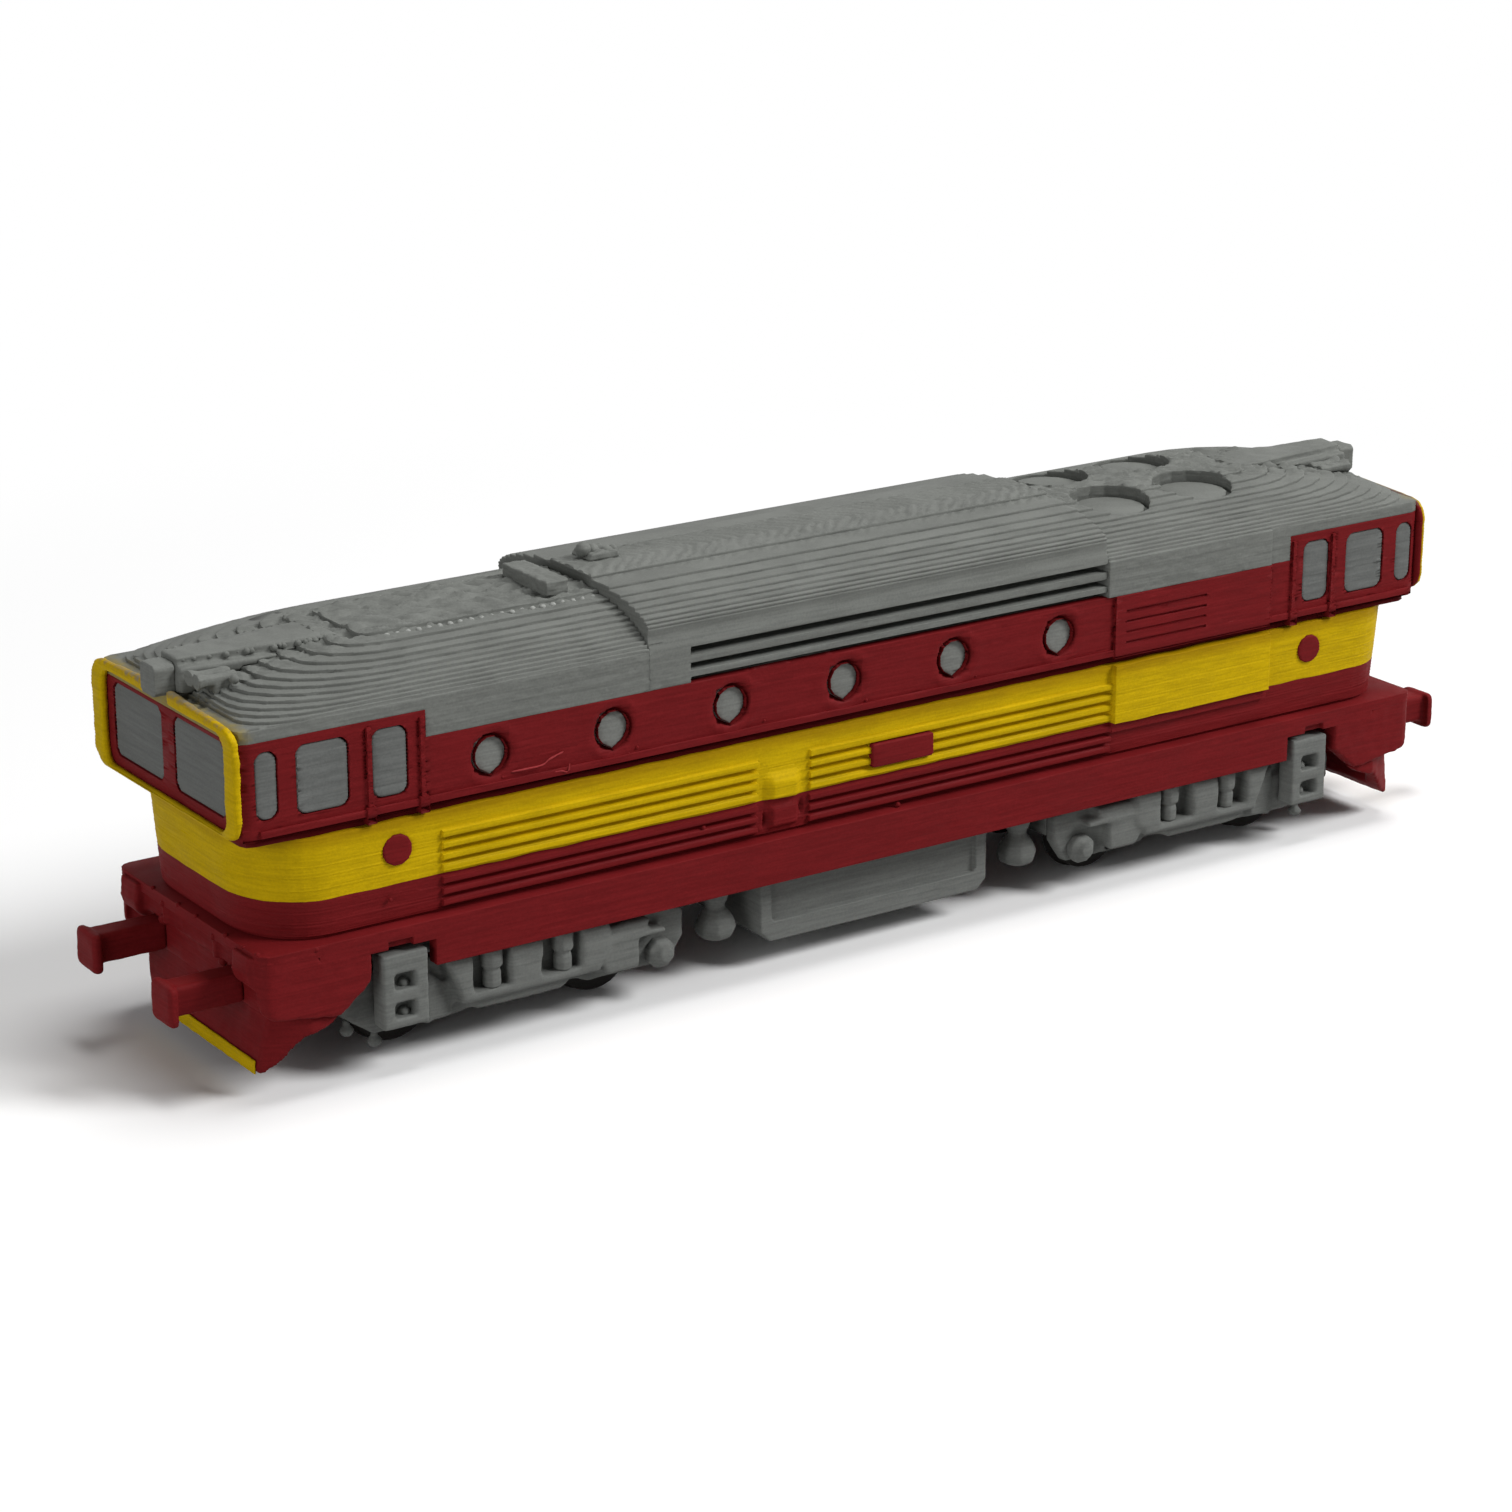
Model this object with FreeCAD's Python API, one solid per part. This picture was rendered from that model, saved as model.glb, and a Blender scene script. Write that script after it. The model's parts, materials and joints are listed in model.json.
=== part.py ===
"""Z-scale (1:220) printed model of a double-ended diesel locomotive on two two-axle bogies.

Frame: +X towards the number one end, +Y to the left, +Z up.  The origin is midway along the
model, on the floor that the wheels stand on.  Every dimension below is that of the full-size
locomotive in metres; MODEL_MM turns one into millimetres on the model when a piece is saved.
Small round details are many-sided bars, which is how they come off the printer; what turns
(wheels, axles and kingpins) is truly round.
"""
import FreeCAD, Part
import math
import os

MODEL_SCALE = 220.0
MODEL_MM = 1000.0 / MODEL_SCALE      # model millimetres for one full-size metre
LAYER = 0.16 / MODEL_MM              # one printed layer of 0.16 mm
FIT = 0.05 / MODEL_MM                # radial running clearance of axles and kingpins, 0.05 mm

# ---- driving dimensions, full-size metres -------------------------------------------------
LENGTH_OVER_BUFFERS = 16.54          # as designed; see REAR_BUFFER_OUT
PIVOT_X = 4.50                       # bogie pivots either side of the middle
WHEELBASE = 2.40
WHEEL_R = 0.50                       # over the flange
TREAD_R = 0.46
SKIRT_HALF = 1.60                    # half width over the side skirts
BODY_HALF = 1.50                     # half width of the window band and roof sides
SKIRT_Z = 1.08                       # lower edge of the side skirt
DECK_Z = 1.36                        # underside of the deck between the skirts
LEDGE_Z = 1.45                       # underside of the ledge round the ends
SOLE_Z = 1.57                        # top of the skirt, where the body begins
WAIST_Z = 1.98                       # foot of the waist band
SILL_Z = 2.65                        # top of the waist band
BAND_Z = 3.44                        # top of the window band between the cabs
CAB_Z = 3.72                         # top of the window band on the cabs
SPRING_Z = 3.85                      # where the roof starts to curve in at the ends
ROOF_Z = SPRING_Z + 12 * LAYER       # flat of the roof over the ends, twelve printed layers up
RAISED_SPRING_Z = 4.075              # where the raised roof in the middle starts to curve in
RAISED_Z = RAISED_SPRING_Z + 9 * LAYER
RAISED_X = (-2.95, 3.00)             # ends of the raised roof
CAB_X = 5.60                         # where the cab sides end
SCREEN_X = 7.64                      # red face behind the windscreens
GOGGLE_X = 7.72                      # front of the windscreen surround
COOLER_X = (-5.30, -3.05)            # smooth side panel beside the roof fans, proud of the side
REAR_CAB_IN = 0.07                   # the rear cab face was printed this much nearer the middle
REAR_BUFFER_OUT = 0.13               # and the rear buffers this much longer

OUT = "parts"
pieces = {}


# ---- helpers ------------------------------------------------------------------------------
def vec(x, y, z):
    return FreeCAD.Vector(x, y, z)


def box(x0, x1, y0, y1, z0, z1):
    return Part.makeBox(x1 - x0, y1 - y0, z1 - z0, vec(x0, y0, z0))


def cyl(radius, length, base, axis=(0, 0, 1)):
    return Part.makeCylinder(radius, length, vec(*base), vec(*axis))


def prism(points, push):
    """A closed polygon of (x, y, z) points pushed out along a vector."""
    ring = [vec(*p) for p in points]
    return Part.Face(Part.makePolygon(ring + ring[:1])).extrude(vec(*push))


def side_prism(points, y0, y1):
    """A polygon of (x, z) points between two planes of constant y."""
    return prism([(x, y0, z) for x, z in points], (0, y1 - y0, 0))


def cross_prism(points, x0, x1):
    """A polygon of (y, z) points between two planes of constant x."""
    return prism([(x0, y, z) for y, z in points], (x1 - x0, 0, 0))


def plan_prism(points, z0, z1):
    """A polygon of (x, y) points between two levels."""
    return prism([(x, y, z0) for x, y in points], (0, 0, z1 - z0))


def rounded(a0, a1, b0, b1, ra, rb, steps):
    """Corners of a rectangle whose four corners are quarter ellipses of so many flats."""
    centres = [(a1 - ra, b1 - rb), (a0 + ra, b1 - rb), (a0 + ra, b0 + rb), (a1 - ra, b0 + rb)]
    points = []
    for (ca, cb), start in zip(centres, (0, 90, 180, 270)):
        for k in range(steps + 1):
            turn = math.radians(start + 90.0 * k / steps)
            points.append((ca + ra * math.cos(turn), cb + rb * math.sin(turn)))
    return points


def side_pane(x0, x1, z0, z1, y0, y1, r=0.07):
    """A block with blunt corners on the side of the body."""
    return side_prism(rounded(x0, x1, z0, z1, r, r, 1), y0, y1)


def front_pane(y0, y1, z0, z1, x0, x1, r=0.07):
    """A block with blunt corners on the end of the body."""
    return cross_prism(rounded(y0, y1, z0, z1, r, r, 1), x0, x1)


def ring(radius, centre, axis, sides):
    """Corners of a regular polygon about an axis."""
    along = vec(*axis).normalize()
    across = along.cross(vec(0, 0, 1) if abs(along.z) < 0.9 else vec(1, 0, 0)).normalize()
    up = along.cross(across)
    corners = []
    for k in range(sides):
        turn = 2 * math.pi * (k + 0.5) / sides
        corners.append(vec(*centre) + across * (radius * math.cos(turn)) + up * (radius * math.sin(turn)))
    return corners


def lathe(profile, base, axis=(0, 0, 1), sides=8):
    """A many-sided solid about an axis, from its profile of (radius, distance along the axis)."""
    along = vec(*axis).normalize()
    rings = [ring(r, tuple(vec(*base) + along * d), axis, sides) for r, d in profile]
    faces = [Part.Face(Part.makePolygon(r + r[:1])) for r in (rings[0], rings[-1])]
    for a, b in zip(rings, rings[1:]):
        for k in range(sides):
            quad = [a[k], a[k - 1], b[k - 1], b[k]]
            faces.append(Part.Face(Part.makePolygon(quad + quad[:1])))
    return Part.makeSolid(Part.makeShell(faces))


def bar(radius, length, base, axis=(0, 0, 1), sides=8):
    return lathe([(radius, 0), (radius, length)], base, axis, sides)


def joined(shapes):
    """One solid of pieces that touch or overlap."""
    body = shapes[0]
    if len(shapes) > 1:
        body = body.fuse(shapes[1:])
    return body.removeSplitter()


def left_right(shape):
    return [shape, shape.mirror(vec(0, 0, 0), vec(0, 1, 0))]


def both_ends(shape):
    return [shape, shape.mirror(vec(0, 0, 0), vec(1, 0, 0))]


def four_ways(shape):
    return [s for half in left_right(shape) for s in both_ends(half)]


def keep(node, *shapes):
    """Hold back a piece, or several that don't touch, under the name of its node."""
    pieces[node] = list(shapes)


def end_name(sign):
    return "front" if sign > 0 else "rear"


def at_end(shape, sign, inward=0.0):
    """The piece modelled at the front, or the same one at the rear, moved inward there."""
    return shape if sign > 0 else both_ends(shape)[1].translate(vec(inward, 0, 0))


# ---- the red underframe with its skirts -----------------------------------------------------
LEDGE_X = 7.53                       # front of the ledge
LEDGE_CORNER = 0.14                  # radius of its plan corners
LEDGE_FLATS = 3
DECK_X = 6.90                        # end of the deck; the headstock carries the ledge from here
SKIRT_T = 0.15
SKIRT_END_X = 6.33                   # where the skirt stops behind the plough
NOTCH_X = 5.60                       # the skirt is notched over the bogie's steps
POCKET = (5.86, 6.14, 1.30, 1.44)    # x0, x1, z0, z1 of the shallow pocket over the steps
POCKET_DEEP = 0.06
KINGPIN_R = 0.22
KINGPIN_Z = (0.74, 1.56)


def ledge_plan():
    return rounded(-LEDGE_X, LEDGE_X, -SKIRT_HALF, SKIRT_HALF, LEDGE_CORNER, LEDGE_CORNER, LEDGE_FLATS)


def underframe():
    deck = box(-DECK_X, DECK_X, -SKIRT_HALF, SKIRT_HALF, DECK_Z, LEDGE_Z)
    ledge = plan_prism(ledge_plan(), LEDGE_Z, SOLE_Z)
    skirt = box(-NOTCH_X, NOTCH_X, SKIRT_HALF - SKIRT_T, SKIRT_HALF, SKIRT_Z, DECK_Z)
    x0, x1, z0, z1 = POCKET
    pocket = box(x0, x1, SKIRT_HALF - POCKET_DEEP, SKIRT_HALF, z0, z1)
    pin_hole = cyl(KINGPIN_R, KINGPIN_Z[1], (PIVOT_X, 0, 0))
    return joined([deck, ledge] + left_right(skirt)).cut(four_ways(pocket) + both_ends(pin_hole))


keep("underframe", underframe())

# ---- headstock and plough -------------------------------------------------------------------
HEAD_X = 7.43                        # face of the headstock, which carries the buffers
HEAD_Z = 0.86                        # foot of its face
HEAD_BACK_X = 6.80
PLATE_T = 0.15                       # the side plates, flush with the ledge, stand proud of the face
PANEL_X = 7.48                       # raised panel across the top of the face
PANEL_Z = 1.24
RIB_X = 7.53                         # two upright ribs on the panel
RIB_Y = 0.56
RIB_W = 0.07
BOLSTER_Y = (1.05, 1.42)             # the rounded bolsters over the buffers
# their section, (x, z)
BOLSTER = [(HEAD_X, 1.15), (7.51, 1.17), (7.57, 1.23), (7.60, 1.33), (7.58, LEDGE_Z), (HEAD_X, LEDGE_Z)]
# side view of the headstock, (x, z), with the rounded foot of its side plates
HEAD_EDGE = [(LEDGE_X, LEDGE_Z), (LEDGE_X, 1.04), (7.49, 0.94), (7.41, 0.88), (7.20, HEAD_Z), (6.77, 0.79),
             (6.00, 0.79), (6.00, DECK_Z), (DECK_X, DECK_Z), (DECK_X, LEDGE_Z)]

PLOUGH_X = 7.47
PLOUGH_Z = 0.24
PLOUGH_TOP_X = 7.36                  # its front leans back to here under the headstock
PLOUGH_BACK_X = 7.24
PLOUGH_HALF = 1.30                   # half width of the plough's flat front
CHEEK_Y = 1.55                       # outer face of the plough's cheeks
CHEEK_T = 0.15
STRIPE_T = 0.03
STRIPE_H = 0.11
# lower edge of the plough's cheeks, (x, z), from its toe back to the skirt
CHEEK_EDGE = [(7.47, 0.24), (7.40, 0.26), (7.27, 0.36), (7.15, 0.51), (7.06, 0.61), (6.79, 0.69),
              (6.33, 1.08)]
# everything in front of the plough, (x, z)
RAKE = [(PLOUGH_X, PLOUGH_Z), (PLOUGH_X, PLOUGH_Z + STRIPE_H), (PLOUGH_TOP_X, HEAD_Z), (PLOUGH_TOP_X, 1.5),
        (8.0, 1.5), (8.0, PLOUGH_Z)]


def across(edge):
    """A side view carried across the whole width."""
    return side_prism(edge, -2, 2)


def below_cheeks():
    """Everything under the lower edge of the cheeks."""
    return across(CHEEK_EDGE + [(6.0, 1.08), (6.0, 0.0), (8.0, 0.0), (8.0, PLOUGH_Z)])


def headstock():
    """The face that carries the buffers, between side plates that run back to the skirts."""
    inside = SKIRT_HALF - PLATE_T
    block = plan_prism(ledge_plan(), 0.7, LEDGE_Z).common(across(HEAD_EDGE))
    recess = box(HEAD_X, 8, -inside, inside, 0, 2)
    hollow = box(0, HEAD_BACK_X, -SKIRT_HALF + 0.2, SKIRT_HALF - 0.2, 0, 2)
    behind = box(-8, SKIRT_END_X, -2, 2, 0, 2)
    head = block.cut([recess, hollow, behind, below_cheeks()])
    panel = box(HEAD_X, PANEL_X, -BOLSTER_Y[0], BOLSTER_Y[0], PANEL_Z, LEDGE_Z)
    rib = box(PANEL_X, RIB_X, RIB_Y - RIB_W / 2, RIB_Y + RIB_W / 2, PANEL_Z, LEDGE_Z)
    return joined([head, panel] + left_right(rib) + left_right(side_prism(BOLSTER, *BOLSTER_Y)))


def plough():
    """A raked plate across the end, with cheeks that sweep back and up to the skirts."""
    half_plan = [(PLOUGH_X, 0), (PLOUGH_X, PLOUGH_HALF), (7.0, CHEEK_Y), (SKIRT_END_X, CHEEK_Y),
                 (SKIRT_END_X, CHEEK_Y - CHEEK_T), (7.0, CHEEK_Y - CHEEK_T), (PLOUGH_BACK_X, 1.20),
                 (PLOUGH_BACK_X, 0)]
    half = plan_prism(half_plan, PLOUGH_Z, DECK_Z)
    return joined(left_right(half)).cut([below_cheeks(), across(RAKE), across(HEAD_EDGE)])


def plough_stripe():
    half = PLOUGH_HALF - STRIPE_T
    return box(PLOUGH_X, PLOUGH_X + STRIPE_T, -half, half, PLOUGH_Z, PLOUGH_Z + STRIPE_H)


for sign in (1, -1):
    keep("headstock_" + end_name(sign), at_end(headstock(), sign))
    keep("plough_" + end_name(sign), at_end(plough(), sign))
    keep("plough_stripe_" + end_name(sign), at_end(plough_stripe(), sign))

# ---- buffers ----------------------------------------------------------------------------------
BUFFER_Y = 0.85
BUFFER_Z = 1.03
BUFFER_HEAD = (0.45, 0.42, 0.10)     # width, height, thickness
BUFFER_DOME = 0.03
STEM_HALF = 0.15
STEM_Z = (0.90, 1.22)


def buffer(y, reach):
    """A square stem with a thin head whose front, at x = reach, is slightly crowned."""
    width, height, thick = BUFFER_HEAD
    back = reach - thick
    stem = front_pane(y - STEM_HALF, y + STEM_HALF, *STEM_Z, HEAD_X, back, 0.03)
    wires = []
    for x, shrink in ((back + thick - BUFFER_DOME, 0.0), (back + thick, BUFFER_DOME)):
        a, b = width / 2 - shrink, height / 2 - shrink
        outline = [vec(x, p, q) for p, q in rounded(y - a, y + a, BUFFER_Z - b, BUFFER_Z + b, 0.05, 0.05, 2)]
        wires.append(Part.makePolygon(outline + outline[:1]))
    plate = Part.Face(wires[0]).extrude(vec(BUFFER_DOME - thick, 0, 0))
    return joined([stem, plate, Part.makeLoft(wires, True, True)])


for sign in (1, -1):
    reach = LENGTH_OVER_BUFFERS / 2 + (REAR_BUFFER_OUT if sign < 0 else 0.0)
    keep("buffers_" + end_name(sign), *[at_end(buffer(y, reach), sign) for y in (BUFFER_Y, -BUFFER_Y)])

# ---- body between the sole and the sill -------------------------------------------------------
NOSE_CORNER = (0.75, 0.90)           # plan corner of the nose, along and across
NOSE_FLATS = 9
NOSE_FOOT = (7.41, 1.46)             # nose x and half width at the sole
NOSE_HEAD = (7.48, 1.50)             # and at the sill
FOOT_GROOVE = 0.04                   # height and depth of the groove over the sole
RIB_SPAN = (COOLER_X[1], 5.45)       # the corrugated length of the sides
PILASTER_X = (1.02, 1.68)            # smooth upright between the ribs
RIB_PITCH = 0.12
RIB_OUT = 0.04


def nose_outline(z, inset=0.0):
    """The body's plan at a level: it leans out a little from the sole to the sill."""
    t = (z - SOLE_Z) / (SILL_Z - SOLE_Z)
    x_end, half = [a + (b - a) * t - inset for a, b in zip(NOSE_FOOT, NOSE_HEAD)]
    rx, ry = [r - inset for r in NOSE_CORNER]
    corners = [vec(x, y, z) for x, y in rounded(-x_end, x_end, -half, half, rx, ry, NOSE_FLATS)]
    return Part.makePolygon(corners + corners[:1])


def nose_tier(z0, z1, inset=0.0):
    return Part.makeLoft([nose_outline(z0, inset), nose_outline(z1, inset)], True, True)


def side_half(z):
    return NOSE_FOOT[1] + (NOSE_HEAD[1] - NOSE_FOOT[1]) * (z - SOLE_Z) / (SILL_Z - SOLE_Z)


def ribs(z_first, count):
    """Horizontal ribs along both sides, stopping at the smooth pilaster."""
    out = []
    for x0, x1 in ((RIB_SPAN[0], PILASTER_X[0]), (PILASTER_X[1], RIB_SPAN[1])):
        for k in range(count):
            z = z_first + k * RIB_PITCH
            root, crest = side_half(z) - 0.03, side_half(z) + RIB_OUT
            section = [(root, z - 0.045), (crest, z - 0.03), (crest, z + 0.03), (root, z + 0.045)]
            out.append(cross_prism(section, x0, x1))
    return [s for rib in out for s in left_right(rib)]


def lower_body():
    foot = nose_tier(SOLE_Z, SOLE_Z + FOOT_GROOVE, FOOT_GROOVE)
    wall = nose_tier(SOLE_Z + FOOT_GROOVE, WAIST_Z)
    pad = side_pane(1.18, 1.50, 1.67, 1.93, BODY_HALF - 0.06, BODY_HALF + 0.03)
    panel = box(COOLER_X[0], COOLER_X[1], BODY_HALF - 0.1, BODY_HALF + 0.02, 1.87, WAIST_Z)
    return joined([foot, wall] + left_right(pad) + left_right(panel) + ribs(1.675, 3))


def waist_band():
    pad = side_pane(1.15, 1.58, 2.03, 2.32, BODY_HALF - 0.06, BODY_HALF + 0.05)
    panel = box(COOLER_X[0], COOLER_X[1], BODY_HALF - 0.1, BODY_HALF + 0.07, WAIST_Z, SILL_Z)
    return joined([nose_tier(WAIST_Z, SILL_Z)] + left_right(pad) + left_right(panel) + ribs(2.045, 4))


keep("lower_body", lower_body())
DOT_X, DOT_Z, DOT_R = 5.95, 2.34, 0.165
DOT_FLATS = 12
DOT = bar(DOT_R, 0.06, (DOT_X, BODY_HALF - 0.05, DOT_Z), (0, 1, 0), DOT_FLATS)
PLATE = side_pane(-0.56, 0.24, 2.10, 2.36, BODY_HALF - 0.03, BODY_HALF + 0.06, 0.02)
plates = left_right(PLATE)
dots = four_ways(DOT)
keep("waist_band", waist_band().cut(plates + dots))
keep("waist_plates", *plates)
keep("waist_dots", *dots)

# ---- window band -------------------------------------------------------------------------------
PORTHOLE_X = [4.867 - 1.432 * k for k in range(6)]
PORTHOLE_Z = 3.12
PORTHOLE_R = 0.19
PORTHOLE_TIP = 0.225                 # the print sags to a point this far below the centre
PORTHOLE_FLATS = 9
CAB_PANES = [(7.22, 7.47, 2.92, 3.62), (6.45, 7.03, 2.90, 3.62), (5.80, 6.20, 2.90, 3.62)]  # x0, x1, z0, z1
SCREEN_PANES = [(-1.21, -0.13, 2.90, 3.68), (0.13, 1.21, 2.90, 3.68)]                       # y0, y1, z0, z1
PANE_IN = 0.06                       # the panes lie this far behind the sides
PANE_T = 0.08
SCREEN_IN = 0.03
DOOR_POST_X = (5.65, 6.24)
POST_T = 0.05
COOLER_SLOTS = (2.88, 3.00, 3.12, 3.24)                 # shallow slots in the cooler's side panel


def cab_slab(z0, z1, inset=0.0):
    x_end, half = SCREEN_X - inset, BODY_HALF - inset
    return plan_prism(rounded(REAR_CAB_IN - x_end, x_end, -half, half, 0.12, 0.12, 2), z0, z1)


def door_posts():
    """Handrails at the cab door, with a stout foot on each."""
    out = []
    for x in DOOR_POST_X:
        rail = box(x - POST_T / 2, x + POST_T / 2, BODY_HALF - 0.05, BODY_HALF + 0.03, 2.80, 3.66)
        foot = box(x - POST_T, x + POST_T, BODY_HALF - 0.05, BODY_HALF + 0.05, 2.68, 2.85)
        out += four_ways(rail) + four_ways(foot)
    return out


def window_band():
    groove = cab_slab(SILL_Z, SILL_Z + 0.08, 0.07)
    band = cab_slab(SILL_Z + 0.08, CAB_Z).cut(box(-CAB_X, CAB_X, -2, 2, BAND_Z, CAB_Z))
    strip = box(-SCREEN_X + 0.2, SCREEN_X - 0.2, BODY_HALF - 0.05, BODY_HALF + 0.03, 2.76, 2.83)
    panel = box(COOLER_X[0], COOLER_X[1], BODY_HALF - 0.05, BODY_HALF + 0.04, SILL_Z + 0.08, BAND_Z)
    return joined([groove, band] + left_right(strip) + left_right(panel) + door_posts())


def cab_panes(y0, y1):
    return [s for x0, x1, z0, z1 in CAB_PANES for s in four_ways(side_pane(x0, x1, z0, z1, y0, y1))]


def portholes(y0, y1):
    """Round windows whose lower edge comes to a small point."""
    arc = [math.radians(-48 + 276.0 * k / PORTHOLE_FLATS) for k in range(PORTHOLE_FLATS + 1)]
    out = []
    for x in PORTHOLE_X:
        points = [(x + PORTHOLE_R * math.cos(a), PORTHOLE_Z + PORTHOLE_R * math.sin(a)) for a in arc]
        out += left_right(side_prism(points + [(x, PORTHOLE_Z - PORTHOLE_TIP)], y0, y1))
    return out


def windscreens(x0, x1):
    return [front_pane(y0, y1, z0, z1, x0, x1) for y0, y1, z0, z1 in SCREEN_PANES]


def cooler_slots():
    x0, x1 = COOLER_X
    slots = [box(x0 + 0.95, x1 - 0.15, BODY_HALF + 0.015, BODY_HALF + 0.1, z, z + 0.03) for z in COOLER_SLOTS]
    return [s for slot in slots for s in left_right(slot)]


BAND_OPENINGS = (cab_panes(BODY_HALF - PANE_IN - PANE_T, 2)
                 + portholes(BODY_HALF - PANE_IN - PANE_T, 2)
                 + [at_end(pane, sign, REAR_CAB_IN) for sign in (1, -1)
                    for pane in windscreens(SCREEN_X - SCREEN_IN - PANE_T, 8)]
                 + cooler_slots())
keep("window_band", window_band().cut(BAND_OPENINGS))
keep("side_panes", *cab_panes(BODY_HALF - PANE_IN - PANE_T, BODY_HALF - PANE_IN))
keep("portholes", *portholes(BODY_HALF - PANE_IN - PANE_T, BODY_HALF - PANE_IN))

# ---- windscreens and their surround ------------------------------------------------------------
GOGGLE_HALF = 1.565
GOGGLE_Z = (2.75, 3.88)
GOGGLE_PEAK_Z = 3.94                 # the top edge rises to this at the headlight
GOGGLE_IN = (1.33, 2.80, 3.79)       # half width, foot and top of the opening
HEADLIGHT_HALF = 0.16
HEADLIGHT_X = 7.83
HEADLIGHT_Z = (3.88, 4.20)


def goggles():
    """The windscreen surround, a frame that stands proud of the cab front, open at the headlight."""
    outer = cross_prism(rounded(-GOGGLE_HALF, GOGGLE_HALF, *GOGGLE_Z, 0.22, 0.22, 3), SCREEN_X, GOGGLE_X)
    ridge = cross_prism([(-1.34, GOGGLE_Z[1]), (1.34, GOGGLE_Z[1]), (HEADLIGHT_HALF, GOGGLE_PEAK_Z),
                         (-HEADLIGHT_HALF, GOGGLE_PEAK_Z)], SCREEN_X, GOGGLE_X)
    half, foot, top = GOGGLE_IN
    opening = cross_prism(rounded(-half, half, foot, top, 0.14, 0.14, 3), SCREEN_X, GOGGLE_X)
    gap = box(SCREEN_X, GOGGLE_X, -HEADLIGHT_HALF, HEADLIGHT_HALF, top - 0.05, 4.0)
    return joined([outer, ridge]).cut([opening, gap])


for sign in (1, -1):
    keep("windscreen_surround_" + end_name(sign), at_end(goggles(), sign, REAR_CAB_IN))
    screens = windscreens(SCREEN_X - SCREEN_IN - PANE_T, SCREEN_X - SCREEN_IN)
    keep("windscreens_" + end_name(sign), *[at_end(s, sign, REAR_CAB_IN) for s in screens])

# ---- roof ------------------------------------------------------------------------------------------
ARCH_POWER = 1.75                    # how late the roof turns over from the side to the flat
END_FLAT_HALF = 0.55                 # half width of the flat on the end roofs
RAISED_FLAT_HALF = 0.40              # and on the raised roof
ROOF_FRONT_X = 7.50                  # front of the lowest terrace
ROOF_FRONT_BACK = 1.73               # the top terrace stops this far behind it
ROOF_FLATS = 5
LOUVRE_X = (-2.95, 2.50)
LOUVRE_SLOTS = [(3.44, 3.50), (3.57, 3.65), (3.73, 3.82)]   # foot and top of each slot
LOUVRE_DEEP = 0.10
FAN_X = (-3.72, -4.92)
FAN_Y = 0.55
FAN_R = 0.46
FAN_Z = 4.10                         # floor of the fan wells
FAN_FLATS = 16


def arch(t, top_half):
    """Half width of the roof at a fraction t of its rise, down to top_half at the flat."""
    drop = 1 - (top_half / BODY_HALF) ** 2
    return BODY_HALF * math.sqrt(1 - drop * t ** ARCH_POWER)


def end_terrace(t, z):
    """One printed layer of the end roofs: it backs away from the nose as it narrows."""
    half = arch(t, END_FLAT_HALF)
    x_end = ROOF_FRONT_X - ROOF_FRONT_BACK * t ** 2.2
    rx = 0.25 + 1.0 * math.sin(math.pi * t) ** 0.8
    ry = min(0.7, half - 0.2) * (0.30 + 0.70 * math.sin(math.pi * t))
    return plan_prism(rounded(-x_end, x_end, -half, half, rx, ry, ROOF_FLATS), z - LAYER, z)


def stacked(z0, z1, layer):
    """Printed layers from z0 to z1, each made by layer(t, z) for the fraction t that it tops."""
    count = round((z1 - z0) / LAYER)
    return [layer((k + 1) / count, z0 + (k + 1) * LAYER) for k in range(count)]


def roof_shell():
    base = cab_slab(CAB_Z, SPRING_Z)
    sides = box(-CAB_X, CAB_X, -BODY_HALF, BODY_HALF, BAND_Z, CAB_Z)
    panel = box(COOLER_X[0], RAISED_X[0], BODY_HALF - 0.05, BODY_HALF + 0.03, BAND_Z, SPRING_Z)
    return joined([base, sides] + left_right(panel) + stacked(SPRING_Z, ROOF_Z, end_terrace))


def raised_roof():
    x0, x1 = RAISED_X

    def layer(t, z):
        half = arch(t, RAISED_FLAT_HALF)
        return box(x0, x1, -half, half, z - LAYER, z)
    wall = box(x0, x1, -BODY_HALF, BODY_HALF, BAND_Z, RAISED_SPRING_Z)
    return joined([wall] + stacked(RAISED_SPRING_Z, RAISED_Z, layer))


def fan_discs(radius, z0, z1):
    return [bar(radius, z1 - z0, (x, y, z0), (0, 0, 1), FAN_FLATS) for x in FAN_X for y in (FAN_Y, -FAN_Y)]


SHELL = roof_shell()
RAISED = raised_roof()
slots = [s for z0, z1 in LOUVRE_SLOTS for s in left_right(box(*LOUVRE_X, BODY_HALF - LOUVRE_DEEP, 2, z0, z1))]
CUT_OUT = box(*RAISED_X, -2, 2, BAND_Z, RAISED_Z + 1)
END_ROOFS = SHELL.cut([CUT_OUT] + fan_discs(FAN_R, FAN_Z, RAISED_Z)).Solids
keep("roof_front", *[roof for roof in END_ROOFS if roof.CenterOfMass.x > 0])
keep("roof_rear", *[roof for roof in END_ROOFS if roof.CenterOfMass.x < 0])
keep("roof_middle", RAISED.cut(slots))
keep("roof_fans", *fan_discs(FAN_R - 0.06, FAN_Z, FAN_Z + 0.05))

# ---- what stands on the roof -----------------------------------------------------------------------
SPINE_TIERS = [(3.90, 4.17, 0.10), (4.17, 4.255, 0.0)]   # foot, top, and how much wider than the crest
SPINE_HALF = (0.32, 0.16)            # half width of the crest at its back and front
HORN_Y = (0.40, 0.55)
HORN_Z = 4.10
REAR_HORNS_IN = 0.30                 # the rear horns stand this much nearer the middle


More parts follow.
